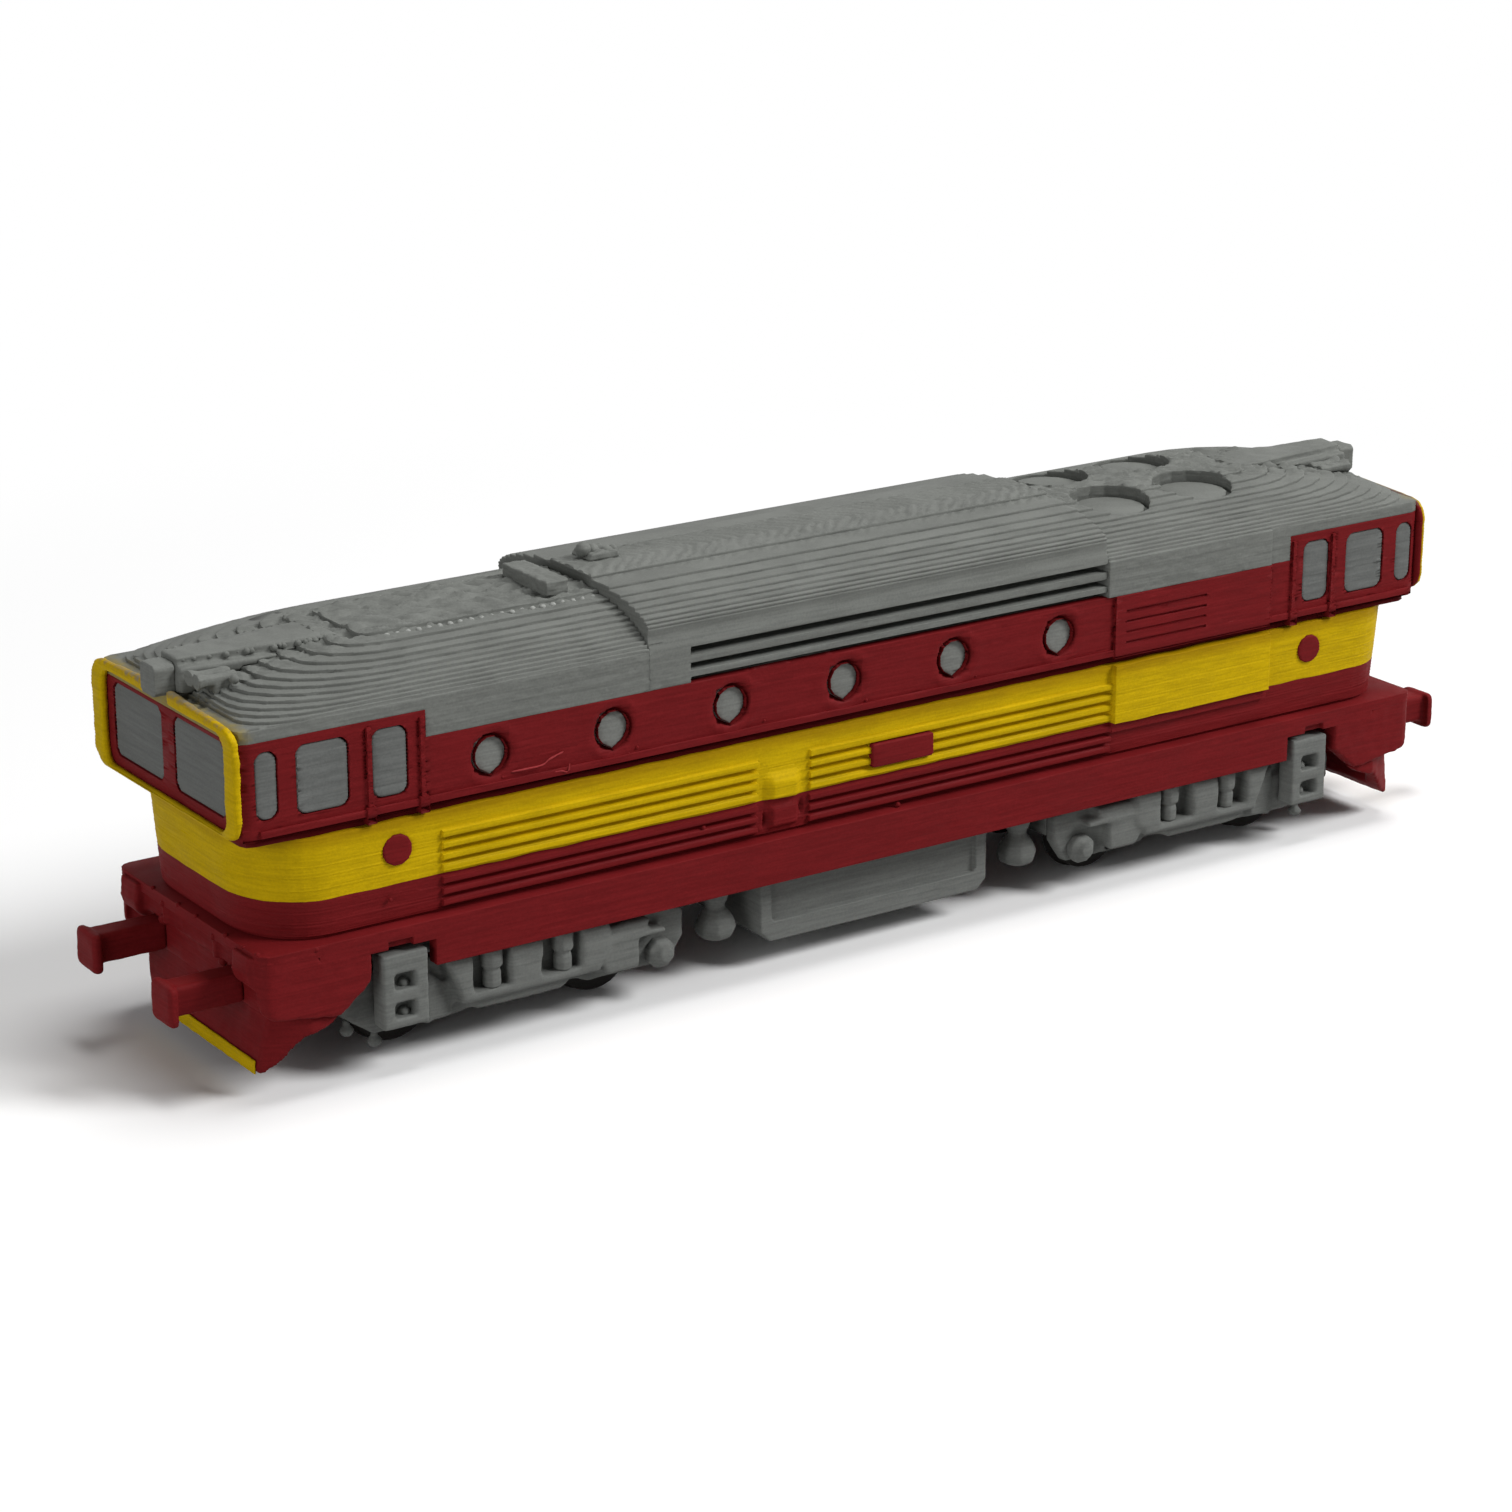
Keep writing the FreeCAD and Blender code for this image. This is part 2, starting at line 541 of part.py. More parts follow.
def spine():
    """The ridge that runs forward from the flat of the roof to the headlight over the windscreens."""
    tiers = []
    for z0, z1, wider in SPINE_TIERS:
        back, front = SPINE_HALF[0] + wider, SPINE_HALF[1] + wider
        tiers.append(plan_prism([(5.9, -back), (7.60, -front), (7.60, front), (5.9, back)], z0, z1))
    return joined(tiers)


def headlight():
    return front_pane(-HEADLIGHT_HALF, HEADLIGHT_HALF, *HEADLIGHT_Z, 7.60, HEADLIGHT_X, 0.04)


def horns():
    """Two short horns side by side, flared at the front, on one foot."""
    foot = box(7.20, 7.40, HORN_Y[0] - 0.05, HORN_Y[1] + 0.05, SPRING_Z, HORN_Z)
    out = [foot]
    for y in HORN_Y:
        out.append(lathe([(0.06, 0), (0.06, 0.31), (0.09, 0.43)], (7.15, y, HORN_Z), (1, 0, 0)))
    return joined(out)


for sign in (1, -1):
    keep("roof_spine_" + end_name(sign), at_end(spine(), sign, REAR_CAB_IN).cut(SHELL))
    keep("headlight_" + end_name(sign), at_end(headlight(), sign, REAR_CAB_IN))
    keep("horns_" + end_name(sign), at_end(horns(), sign, REAR_HORNS_IN).cut(SHELL))
keep("roof_cross_bar", box(3.30, 3.57, -0.42, 0.46, ROOF_Z, 4.43))
keep("roof_nub", side_prism([(2.35, RAISED_Z), (2.75, RAISED_Z), (2.70, 4.47), (2.40, 4.47)], -0.40, -0.05))

# ---- below the floor --------------------------------------------------------------------------------
TANK_Z = 0.30
RESERVOIR_X = (1.92, -2.12)
RESERVOIR_Y = 1.05
RESERVOIR_Z = 0.38                   # foot of the air bells


def fuel_tank():
    tank = side_pane(-1.50, 1.50, TANK_Z, 1.10, -1.30, 1.30, 0.12)
    panel = side_pane(-1.36, 1.36, 0.52, 1.02, 1.24, 1.40, 0.04)
    neck = box(-1.3, 1.3, -1.0, 1.0, 1.05, DECK_Z)
    return joined([tank.cut(left_right(panel)), neck])


def reservoir(x):
    """An upright air bell with a round foot, hung from the deck on its neck."""
    profile = [(0.10, 0.0), (0.20, 0.05), (0.23, 0.14), (0.20, 0.24), (0.10, 0.38),
               (0.15, 0.46), (0.15, 0.56), (0.09, DECK_Z - RESERVOIR_Z)]
    return lathe(profile, (x, RESERVOIR_Y, RESERVOIR_Z))


keep("fuel_tank", fuel_tank())
keep("air_reservoirs", *[s for x in RESERVOIR_X for s in left_right(reservoir(x))])

# ---- bogies, drawn about the pivot with +X towards the end of the locomotive --------------------------
AXLE_R = 0.11
AXLE_HALF = 1.28                     # half length of an axle
JOURNAL_END = 1.31                   # blind end of its bores
BORE_FLATS = 12                      # the bores are printed twelve-sided round the journals
FRAME_IN, FRAME_OUT = 1.12, 1.28     # side plates of the bogie
BEAM_OUT = 1.50                      # outer face of what stands on the side plates
LIP_Z = (0.53, 0.63)                 # the shelf that the springs stand on
BOGIE_TOP = 1.04
SPRING_X = (0.36, -0.48)
END_BEAM_X = 1.95
# side plate outline, (x, z)
SIDE_PLATE = [(-2.03, 0.62), (-1.86, 0.36), (-0.86, 0.36), (-0.70, 0.42), (0.50, 0.40), (0.66, 0.36),
              (1.66, 0.36), (2.03, 0.62), (2.03, 0.92), (1.55, BOGIE_TOP), (-1.55, BOGIE_TOP), (-2.03, 0.92)]
# upright blocks on the side plate, (x, z) outlines
UPRIGHTS = [[(0.62, 0.63), (0.77, 0.63), (0.95, BOGIE_TOP), (0.62, BOGIE_TOP)],
            [(-0.17, 0.63), (0.17, 0.63), (0.20, 0.88), (0.17, BOGIE_TOP), (-0.20, BOGIE_TOP), (-0.20, 0.86)],
            [(-0.94, 0.63), (-0.66, 0.63), (-0.66, BOGIE_TOP), (-1.00, BOGIE_TOP), (-1.00, 0.72)]]
# flat pieces of the inner axlebox: outline (x, z) and outer face
AXLEBOX = [([(-1.38, 0.45), (-0.98, 0.45), (-0.90, 0.60), (-0.98, 0.78), (-1.38, 0.80)], 1.46),
           ([(-1.52, 0.89), (-1.02, 0.89), (-1.02, 0.97), (-1.52, 0.97)], 1.44),
           ([(-1.70, 0.78), (-1.00, 0.80), (-1.00, 0.87), (-1.70, 0.84)], 1.48)]


def bogie_core():
    """Transom, end beams and rails; the boss on top bears on the deck."""
    transom = box(-0.45, 0.45, -FRAME_IN, FRAME_IN, 0.72, BOGIE_TOP)
    ends = [box(x - 0.08, x + 0.08, -FRAME_IN, FRAME_IN, 0.66, 0.90) for x in (END_BEAM_X, -END_BEAM_X)]
    rails = [box(-END_BEAM_X, END_BEAM_X, y - 0.08, y + 0.08, 0.76, 0.90) for y in (0.40, -0.40)]
    boss = bar(0.50, DECK_Z - 0.02 - BOGIE_TOP, (0, 0, BOGIE_TOP), sides=12)
    return joined([transom, boss] + ends + rails).cut(cyl(KINGPIN_R + FIT, 2.0, (0, 0, 0)))


def side_frame():
    """One side plate with its spring shelf, uprights and axleboxes, on the left side."""
    plate = side_prism(SIDE_PLATE, FRAME_IN, FRAME_OUT)
    lip = box(-0.88, 0.76, FRAME_OUT, BEAM_OUT, *LIP_Z)
    web = side_prism([(-0.45, 0.40), (0.52, 0.40), (0.70, LIP_Z[0]), (-0.62, LIP_Z[0])], FRAME_OUT, 1.40)
    uprights = [side_prism(outline, FRAME_OUT, BEAM_OUT) for outline in UPRIGHTS]
    inner_box = [side_prism(outline, FRAME_OUT, face) for outline, face in AXLEBOX]
    outer_box = side_pane(0.99, 1.41, 0.38, 0.82, FRAME_OUT, 1.34, 0.05)
    apron = side_prism([(0.80, 0.40), (1.10, 0.36), (1.10, 0.95), (0.80, 0.70)], FRAME_OUT, 1.36)
    across = (AXLE_R + FIT) / math.cos(math.pi / BORE_FLATS)
    deep = JOURNAL_END - FRAME_IN + 0.1
    bores = [bar(across, deep, (x, JOURNAL_END - deep, WHEEL_R), (0, 1, 0), BORE_FLATS)
             for x in (WHEELBASE / 2, -WHEELBASE / 2)]
    return joined([plate, lip, web, outer_box, apron] + uprights + inner_box).cut(bores)


def steps():
    """The footsteps under the cab door, hung on the outer end of the bogie."""
    x0, x1, y0, y1 = 1.20, 1.71, 1.36, 1.60
    ladder = box(x0, x1, y0, y1, 0.50, 1.29)
    holes = [box(x0 + 0.14, x1 - 0.13, y1 - 0.16, y1, z, z + 0.17) for z in (0.60, 0.905)]
    arm = box(1.46, 1.66, FRAME_OUT, y0, 0.55, 0.90)
    return joined([ladder, arm]).cut(holes)


def spring(x):
    """Two drums with a neck between them, on the shelf."""
    high = BOGIE_TOP - LIP_Z[1]
    profile = [(0.10, 0), (0.10, 0.16), (0.07, 0.18), (0.12, 0.22), (0.12, high)]
    return lathe(profile, (x, (FRAME_OUT + BEAM_OUT) / 2, LIP_Z[1]))


def hub():
    """The round end at the inner tip of the side plate."""
    return lathe([(0.17, 0), (0.17, 0.10), (0.11, 0.13), (0.08, 0.20)], (-1.70, FRAME_OUT, 0.51), (0, 1, 0))


def hanger(x, z):
    """A stub under the side plate that ends in a ball."""
    ball = lathe([(0.05, 0), (0.09, 0.06), (0.04, 0.12), (0.04, 0.35)], (x, 1.20, z), sides=6)
    return ball.cut(side_prism(SIDE_PLATE, FRAME_IN, FRAME_OUT))


def brake_ends():
    return left_right(hub()) + left_right(hanger(1.93, 0.38)) + left_right(hanger(1.62, 0.20))


def wheels():
    """Two wheels, each with a flange that tapers to the tread and a bore for the axle."""
    out = []
    for s in (1, -1):
        profile = [(AXLE_R, 0.65), (WHEEL_R, 0.65), (TREAD_R, 0.70), (TREAD_R, 0.83), (AXLE_R, 0.83)]
        corners = [vec(r, s * y, 0) for r, y in profile]
        half = Part.Face(Part.makePolygon(corners + corners[:1]))
        out.append(half.revolve(vec(0, 0, 0), vec(0, 1, 0), 360))
    return out


def turned(shape, sign):
    """A bogie piece put at its end; the rear bogie is the front one turned round."""
    placed = shape.copy()
    if sign < 0:
        placed.rotate(vec(0, 0, 0), vec(0, 0, 1), 180)
    placed.translate(vec(sign * PIVOT_X, 0, 0))
    return placed


BOGIE_PIECES = {"bogie_core_": [bogie_core()], "side_frames_": left_right(side_frame()),
                "springs_": [s for x in SPRING_X for s in left_right(spring(x))],
                "steps_": left_right(steps()), "brake_ends_": brake_ends()}
for sign in (1, -1):
    for name, shapes in BOGIE_PIECES.items():
        keep(name + end_name(sign), *[turned(s, sign) for s in shapes])
    foot, top = KINGPIN_Z
    keep("kingpin_" + end_name(sign), cyl(KINGPIN_R, top - foot, (sign * PIVOT_X, 0, foot)))

axle_x = [sign * PIVOT_X + s * WHEELBASE / 2 for sign, s in ((1, 1), (1, -1), (-1, 1), (-1, -1))]
for number, x in enumerate(axle_x, 1):
    keep("axle_%d" % number, cyl(AXLE_R, 2 * AXLE_HALF, (x, -AXLE_HALF, WHEEL_R), (0, 1, 0)))
    keep("wheels_%d" % number, *[w.translate(vec(x, 0, WHEEL_R)) for w in wheels()])

# ---- save each piece at model size -------------------------------------------------------------------------
os.makedirs(OUT, exist_ok=True)
for node, shapes in pieces.items():
    solids = [solid for shape in shapes for solid in shape.Solids]
    saved = solids[0] if len(solids) == 1 else Part.makeCompound(solids)
    saved = saved.copy()
    saved.scale(MODEL_MM)
    saved.exportStep(os.path.join(OUT, node + ".step"))
print(len(pieces), "nodes")
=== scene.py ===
"""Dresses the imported 1:220 locomotive as the colour-printed plastic model that it is.

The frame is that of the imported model: +X towards the number one end, +Y to its left, +Z up from
the floor under the wheels. Places on the locomotive are in full-size metres, which M turns into
metres on the model. The print's own sizes, the camera and the lamps are in metres on the model.
"""
import json
import math

import bmesh
import bpy
from mathutils import Matrix, Vector, noise

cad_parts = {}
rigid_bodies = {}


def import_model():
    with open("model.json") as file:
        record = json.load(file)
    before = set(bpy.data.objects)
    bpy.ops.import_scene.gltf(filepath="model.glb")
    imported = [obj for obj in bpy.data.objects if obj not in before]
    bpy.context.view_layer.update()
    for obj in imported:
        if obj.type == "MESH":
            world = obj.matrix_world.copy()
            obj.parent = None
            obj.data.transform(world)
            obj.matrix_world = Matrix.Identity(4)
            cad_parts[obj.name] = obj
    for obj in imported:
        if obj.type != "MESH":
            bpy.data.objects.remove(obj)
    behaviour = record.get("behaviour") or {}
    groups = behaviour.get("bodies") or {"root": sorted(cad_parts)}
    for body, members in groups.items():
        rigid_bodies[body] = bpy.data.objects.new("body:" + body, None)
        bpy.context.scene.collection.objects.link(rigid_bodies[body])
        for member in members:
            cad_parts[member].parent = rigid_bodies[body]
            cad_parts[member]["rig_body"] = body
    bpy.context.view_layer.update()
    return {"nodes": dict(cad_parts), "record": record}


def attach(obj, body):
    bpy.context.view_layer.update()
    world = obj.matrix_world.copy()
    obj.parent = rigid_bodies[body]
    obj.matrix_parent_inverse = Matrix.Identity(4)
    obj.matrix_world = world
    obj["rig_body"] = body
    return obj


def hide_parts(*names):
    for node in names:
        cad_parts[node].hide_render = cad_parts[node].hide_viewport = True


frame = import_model()

M = 1 / 220                          # metres on the model for one full-size metre
LAYER = 0.00016                      # height of one printed layer, assumed with the scale
RASTER = 0.155 * M                   # spacing of the head's passes on the top faces
X, Y, Z = 0, 1, 2

# ---- places that more than one piece shares, in full-size metres --------------------------
PORTHOLE_X = [4.867 - 1.432 * k for k in range(6)]
PORTHOLE_Z = 3.12
HALF_WIDTH = 1.5                     # of the body over its windows
ROOF_JOINT = 3.0                     # where the front and the middle roof meet, along X
BODY_TOP, WAIST_TOP = 1.98, 2.65     # the seams under and over the yellow band
WAIST_GROOVES = [2.105, 2.225, 2.345]
BODY_GROOVES = [1.615, 1.735, 1.855]
SURROUND_EDGE = 7.65                 # outer face of the rear windscreen surround

# ---- camera and light ---------------------------------------------------------------------
CAMERA_AT = (0.10552, 0.15007, 0.07003)
CAMERA_RIGHT = (-0.8259, 0.5638, 0.0)
CAMERA_UP = (-0.1806, -0.2646, 0.9473)
CAMERA_FORWARD = (-0.5341, -0.7824, -0.3204)
CAMERA_LENS = 92.52
SENSOR = 36.0
CLIP = (0.005, 20)
LAMPS = {                            # place, what it points at, width and watts
    "key": ((-0.345, 0.307, 0.383), (0, 0, 0), 0.24, 3.05),
    "top": ((-0.089, 0.0, 0.593), (0, 0, 0), 0.26, 1.60),
    "front": ((0.52, 0.20, 0.14), (0, 0, 0.01), 0.30, 1.0),
}
SKY = 0.11                           # strength of the world's light on the object
FLOOR_SIZE = 6
FADE = (0.052, 0.105)                # the floor turns to plain white between these radii
TABLE = (0.96, 0.96, 0.96, 1)        # the floor as the camera sees it, with the shadow
BOUNCE = (0.45, 0.45, 0.45, 1)       # the floor as it lights the object
WHITE = (1, 1, 1, 1)


def add_camera():
    data = bpy.data.cameras.new("camera")
    data.lens = CAMERA_LENS
    data.sensor_width = SENSOR
    data.clip_start, data.clip_end = CLIP
    camera = bpy.data.objects.new("camera", data)
    bpy.context.scene.collection.objects.link(camera)
    right, up = Vector(CAMERA_RIGHT).normalized(), Vector(CAMERA_UP).normalized()
    back = -Vector(CAMERA_FORWARD).normalized()
    turn = Matrix((right, up, back)).transposed().to_4x4()
    camera.matrix_world = Matrix.Translation(CAMERA_AT) @ turn
    bpy.context.scene.camera = camera


def add_lamp(name, place, aim, size, watts):
    data = bpy.data.lights.new(name, "AREA")
    data.shape = "DISK"
    data.size = size
    data.energy = watts
    lamp = bpy.data.objects.new(name, data)
    bpy.context.scene.collection.objects.link(lamp)
    lamp.location = place
    lamp.rotation_euler = (Vector(aim) - Vector(place)).to_track_quat("-Z", "Y").to_euler()


# ---- shader helpers -----------------------------------------------------------------------
def linear(rgb):
    """An sRGB colour from 0 to 255, as the renderer's linear one."""
    out = []
    for c in rgb:
        c /= 255
        out.append(c / 12.92 if c <= 0.04045 else ((c + 0.055) / 1.055) ** 2.4)
    return (*out, 1.0)


class Graph:
    """A short way of writing node trees."""

    def __init__(self, material):
        self.tree = material.node_tree
        self.tree.nodes.clear()

    def add(self, kind, **values):
        node = self.tree.nodes.new(kind)
        for name, value in values.items():
            setattr(node, name, value)
        return node

    def put(self, socket, value):
        if hasattr(value, "is_output") or hasattr(value, "links"):
            self.tree.links.new(value, socket)
        else:
            socket.default_value = value

    def math(self, operation, a, b=None):
        node = self.add("ShaderNodeMath", operation=operation)
        for i, value in enumerate((a, b)):
            if value is not None:
                self.put(node.inputs[i], value)
        return node.outputs[0]

    def mix(self, factor, a, b):
        node = self.add("ShaderNodeMix", data_type="RGBA")
        self.put(node.inputs[0], factor)
        self.put(node.inputs[6], a)
        self.put(node.inputs[7], b)
        return node.outputs[2]

    def ramp(self, value, low, high, a=0.0, b=1.0):
        """value carried smoothly from low..high to a..b, and held beyond."""
        node = self.add("ShaderNodeMapRange", interpolation_type="SMOOTHSTEP")
        for i, v in enumerate((value, low, high, a, b)):
            self.put(node.inputs[i], v)
        return node.outputs[0]

    def shown(self, path):
        """1 for the rays that show the background: the camera's, and those in a shine or glass."""
        shine = self.math("MAXIMUM", path.outputs["Is Glossy Ray"],
                          path.outputs["Is Transmission Ray"])
        return self.math("MAXIMUM", path.outputs["Is Camera Ray"], shine)

    def noise(self, vector, scale, detail=2.0, rough=0.5):
        node = self.add("ShaderNodeTexNoise")
        self.put(node.inputs["Vector"], vector)
        self.put(node.inputs["Scale"], scale)
        self.put(node.inputs["Detail"], detail)
        self.put(node.inputs["Roughness"], rough)
        return node.outputs["Fac"]


# scales of the noises in the plastic, for each metre of the model
RIDGE_SCALE, TOP_SCALE, FINE_SCALE = 9000, 5200, 14000
STREAK_SCALE, SPECK_SCALE, BLOTCH_SCALE, RAGGED_SCALE = 6500, 9000, 500, 2600
DARK, PALE, PALE_LIFT = 0.85, 1.10, 0.001      # tones of the streaks, against the colour
ROUGHNESS = (0.57, 0.69)
SHINE = 0.07
BUMP_STRENGTH, BUMP_DEPTH = 0.35, 0.00002
TOP_RASTER = 0.9                     # how strong the bump of a roof's level faces is


def stretched(g, vector, x, y, z):
    node = g.add("ShaderNodeVectorMath", operation="MULTIPLY")
    g.put(node.inputs[0], vector)
    node.inputs[1].default_value = (x, y, z)
    return node.outputs[0]


def layer_height(g, place):
    """Rounded ridges one layer apart, each a little uneven along its length."""
    xyz = g.add("ShaderNodeSeparateXYZ")
    g.put(xyz.inputs[0], place)
    wander = g.noise(stretched(g, place, 0.15, 0.15, 1.0), RIDGE_SCALE, 1.0)
    level = g.math("DIVIDE", xyz.outputs[2], LAYER)
    level = g.math("ADD", level, g.math("MULTIPLY", wander, 0.35))
    wave = g.math("PINGPONG", level, 0.5)
    return g.math("POWER", g.math("MULTIPLY", wave, 2.0), 0.6)


def bleed_and_shade_factor(g, xyz, place, axis, start, end, amount, wobble):
    """From 0 at start to amount at end along an axis, in full-size metres, with a ragged edge."""
    along = g.math("ABSOLUTE", xyz.outputs[axis])
    edge = g.math("SUBTRACT", g.noise(place, RAGGED_SCALE, 3.0, 0.6), 0.5)
    ragged = g.math("MULTIPLY", edge, wobble * M)
    return g.ramp(g.math("ADD", along, ragged), start * M, end * M, 0.0, amount)


def plastic(name, rgb, raster=0.4, bleeds_and_shade=()):
    """Matte printed plastic with fine ridges, streaks along the layers and a grain.

    Each entry is another colour mixed in along an axis: rgb, axis, start, end, amount, wobble.
    Some are a neighbour's colour running over, and some are painted shade.
    """
    material = bpy.data.materials.new(name)
    material.use_nodes = True
    g = Graph(material)
    place = g.add("ShaderNodeTexCoord").outputs["Object"]
    xyz = g.add("ShaderNodeSeparateXYZ")
    g.put(xyz.inputs[0], place)
    normal = g.add("ShaderNodeSeparateXYZ")
    g.put(normal.inputs[0], g.add("ShaderNodeNewGeometry").outputs["True Normal"])
    level = g.ramp(g.math("ABSOLUTE", normal.outputs[2]), 0.75, 0.97)

    walls = g.math("MULTIPLY", layer_height(g, place), 0.5)
    tops = g.math("MULTIPLY", g.noise(place, TOP_SCALE, 2.0, 0.6), raster)
    height = g.add("ShaderNodeMix", data_type="FLOAT")
    g.put(height.inputs[0], level)
    g.put(height.inputs[2], walls)
    g.put(height.inputs[3], tops)
    fine = g.math("MULTIPLY", g.noise(place, FINE_SCALE, 3.0, 0.6), 0.35)
    total = g.math("ADD", height.outputs[0], fine)

    base = linear(rgb)
    dark = tuple(c * DARK for c in base[:3]) + (1,)
    pale = tuple(min(1, c * PALE + PALE_LIFT) for c in base[:3]) + (1,)
    streak = g.noise(stretched(g, place, 0.05, 0.05, 1.0), STREAK_SCALE, 3.0, 0.6)
    speck = g.noise(place, SPECK_SCALE, 2.0, 0.6)
    blotch = g.noise(place, BLOTCH_SCALE, 2.0, 0.5)
    tone = g.math("ADD", g.math("MULTIPLY", streak, 0.5), g.math("MULTIPLY", speck, 0.3))
    tone = g.math("ADD", tone, g.math("MULTIPLY", blotch, 0.2))
    colour = g.mix(g.ramp(tone, 0.36, 0.64), dark, pale)
    for other, *where in bleeds_and_shade:
        colour = g.mix(bleed_and_shade_factor(g, xyz, place, *where), colour, linear(other))

    bump = g.add("ShaderNodeBump")
    bump.inputs["Strength"].default_value = BUMP_STRENGTH
    bump.inputs["Distance"].default_value = BUMP_DEPTH
    g.put(bump.inputs["Height"], total)
    shader = g.add("ShaderNodeBsdfPrincipled")
    g.put(shader.inputs["Base Color"], colour)
    g.put(shader.inputs["Roughness"], g.ramp(blotch, 0.3, 0.7, *ROUGHNESS))
    shader.inputs["Specular IOR Level"].default_value = SHINE
    g.put(shader.inputs["Normal"], bump.outputs[0])
    g.put(g.add("ShaderNodeOutputMaterial").inputs["Surface"], shader.outputs[0])
    return material


RED = (108, 22, 25)
YELLOW = (194, 162, 0)
GREY = (112, 114, 110)
GEAR = (109, 111, 108)
BROWN = (120, 78, 0)                 # yellow darkened to brown: painted shade on the waist band under the red band, and an edge below the grey at the top of the front surround
# red darkened nearly to black: painted shade
SHADE_RED = (62, 4, 6)
DULL_YELLOW = (150, 130, 40)
PLASTICS = {
    "red_plastic": plastic("red_print", RED),
    "yellow_plastic": plastic("yellow_print", YELLOW),
    "roof_plastic": plastic("roof_print", GREY, raster=TOP_RASTER),
    "pane_plastic": plastic("pane_print", (104, 106, 104)),
    "running_gear_plastic": plastic("gear_print", GEAR),
    "dark_plastic": plastic("wheel_print", (42, 40, 38)),
}
OWN_PLASTIC = {
    # the waist band's yellow turns brown towards its top: painted shade under the overhang of the
    # red band
    "waist_band": plastic("waist_print", YELLOW, bleeds_and_shade=[(BROWN, Z, 2.45, 2.66, 0.55, 0.05)]),
    # the window band's red darkens towards its foot: painted shade in the groove over the yellow
    # band
    "window_band": plastic("band_print", RED, bleeds_and_shade=[(SHADE_RED, Z, 2.80, 2.68, 0.5, 0.04)]),
    "windscreen_surround_front": plastic("surround_print", YELLOW, bleeds_and_shade=[
        (BROWN, Z, 3.82, 3.93, 0.5, 0.12), (GREY, Z, 3.86, 3.97, 0.9, 0.20)]),
    "roof_front": plastic("front_roof_print", GREY, raster=TOP_RASTER, bleeds_and_shade=[
        (DULL_YELLOW, X, 7.44, 7.70, 0.7, 0.3)]),
    "portholes": plastic("porthole_print", (120, 122, 118)),
}
OWN_PLASTIC["windscreen_surround_rear"] = plastic("rear_surround_print", YELLOW, bleeds_and_shade=[
    (RED, X, SURROUND_EDGE - 0.028, SURROUND_EDGE - 0.050, 1.0, 0.02),
    (GREY, Z, 3.76, 3.90, 0.8, 0.20)])
OWN_PLASTIC["roof_rear"] = OWN_PLASTIC["roof_front"]
SLOT_OF = {part["node"]: part["material_slot"] for part in frame["record"]["subparts"]}


# ---- pieces -------------------------------------------------------------------------------
def new_piece(name, mesh, body, slot_name, material=None):
    obj = bpy.data.objects.new(name, mesh)
    bpy.context.scene.collection.objects.link(obj)
    mesh.materials.clear()
    mesh.materials.append(material or PLASTICS[slot_name])
    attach(obj, body)
    return obj


SLACK = 1e-3                         # part of a step, which keeps cuts off the outer faces
MERGE = 2e-7                         # vertices nearer than this are one
ON_CUT = 1e-7                        # and those nearer than this to a cutting plane are on it
EDGE_ANGLE = 28                      # degrees of turn from which an edge is rounded


def join_flat(work, degrees):
    """Joins the faces that lie level with each other to within an angle."""
    bmesh.ops.dissolve_limit(work, angle_limit=math.radians(degrees), verts=work.verts,
                             edges=work.edges)


def whole_faces(node):
    """A working copy of a CAD node with its triangles joined back into flat faces."""
    work = bmesh.new()
    work.from_mesh(frame["nodes"][node].data)
    bmesh.ops.remove_doubles(work, verts=work.verts, dist=MERGE)
    join_flat(work, 1.0)
    return work


def modified(work, kind, **values):
    """The working mesh after one of Blender's modifiers."""
    mesh = bpy.data.meshes.new("work")
    work.to_mesh(mesh)
    work.free()
    obj = bpy.data.objects.new("work", mesh)
    bpy.context.scene.collection.objects.link(obj)
    modifier = obj.modifiers.new("work", kind)
    for name, value in values.items():
        setattr(modifier, name, value)
    graph = bpy.context.evaluated_depsgraph_get()
    done = bpy.data.meshes.new_from_object(obj.evaluated_get(graph))
    out = bmesh.new()
    out.from_mesh(done)
    bpy.data.objects.remove(obj)
    bpy.data.meshes.remove(mesh)
    bpy.data.meshes.remove(done)
    return out


def round_edges(work, width):
    return modified(work, "BEVEL", width=width, segments=2, limit_method="ANGLE",
                    angle_limit=math.radians(EDGE_ANGLE), use_clamp_overlap=True)


def melt(work, voxel, passes):
    """The shape rebuilt from small cells and smoothed, as melted plastic would leave it."""
    work = modified(work, "REMESH", mode="VOXEL", voxel_size=voxel)
    for _ in range(passes):
        bmesh.ops.smooth_vert(work, verts=work.verts, factor=0.5, use_axis_x=True,
                              use_axis_y=True, use_axis_z=True)
    return work


def cut_at(work, geometry, axis, places):
    """Cuts the faces across an axis at each place, halving what is left to cut each time."""
    if not places:
        return
    middle = len(places) // 2
    place = places[middle]
    point, normal = Vector(), Vector()
    point[axis], normal[axis] = place, 1.0
    cut = bmesh.ops.bisect_plane(work, geom=geometry, dist=ON_CUT, plane_co=point,
                                 plane_no=normal)
    low, high = [], []
    for part in cut["geom"]:
        if isinstance(part, bmesh.types.BMVert):
            least = most = part.co[axis]
        else:
            spread = [v.co[axis] for v in part.verts]
            least, most = min(spread), max(spread)
        if least < place + ON_CUT:
            low.append(part)
        if most > place - ON_CUT:
            high.append(part)
    cut_at(work, low, axis, places[:middle])
    cut_at(work, high, axis, places[middle + 1:])


def cut_all(work, axis, places):
    """Cuts the whole working mesh across an axis at each place."""
    cut_at(work, work.verts[:] + work.edges[:] + work.faces[:], axis, places)


def slice_along(work, axis, step, phase=0.0):
    """Cuts the faces by evenly spaced planes, so that they can take a relief."""
    spread = [v.co[axis] for v in work.verts]
    first = math.ceil((min(spread) - phase) / step + SLACK)
    last = math.floor((max(spread) - phase) / step - SLACK)
    cut_all(work, axis, [phase + k * step for k in range(first, last + 1)])


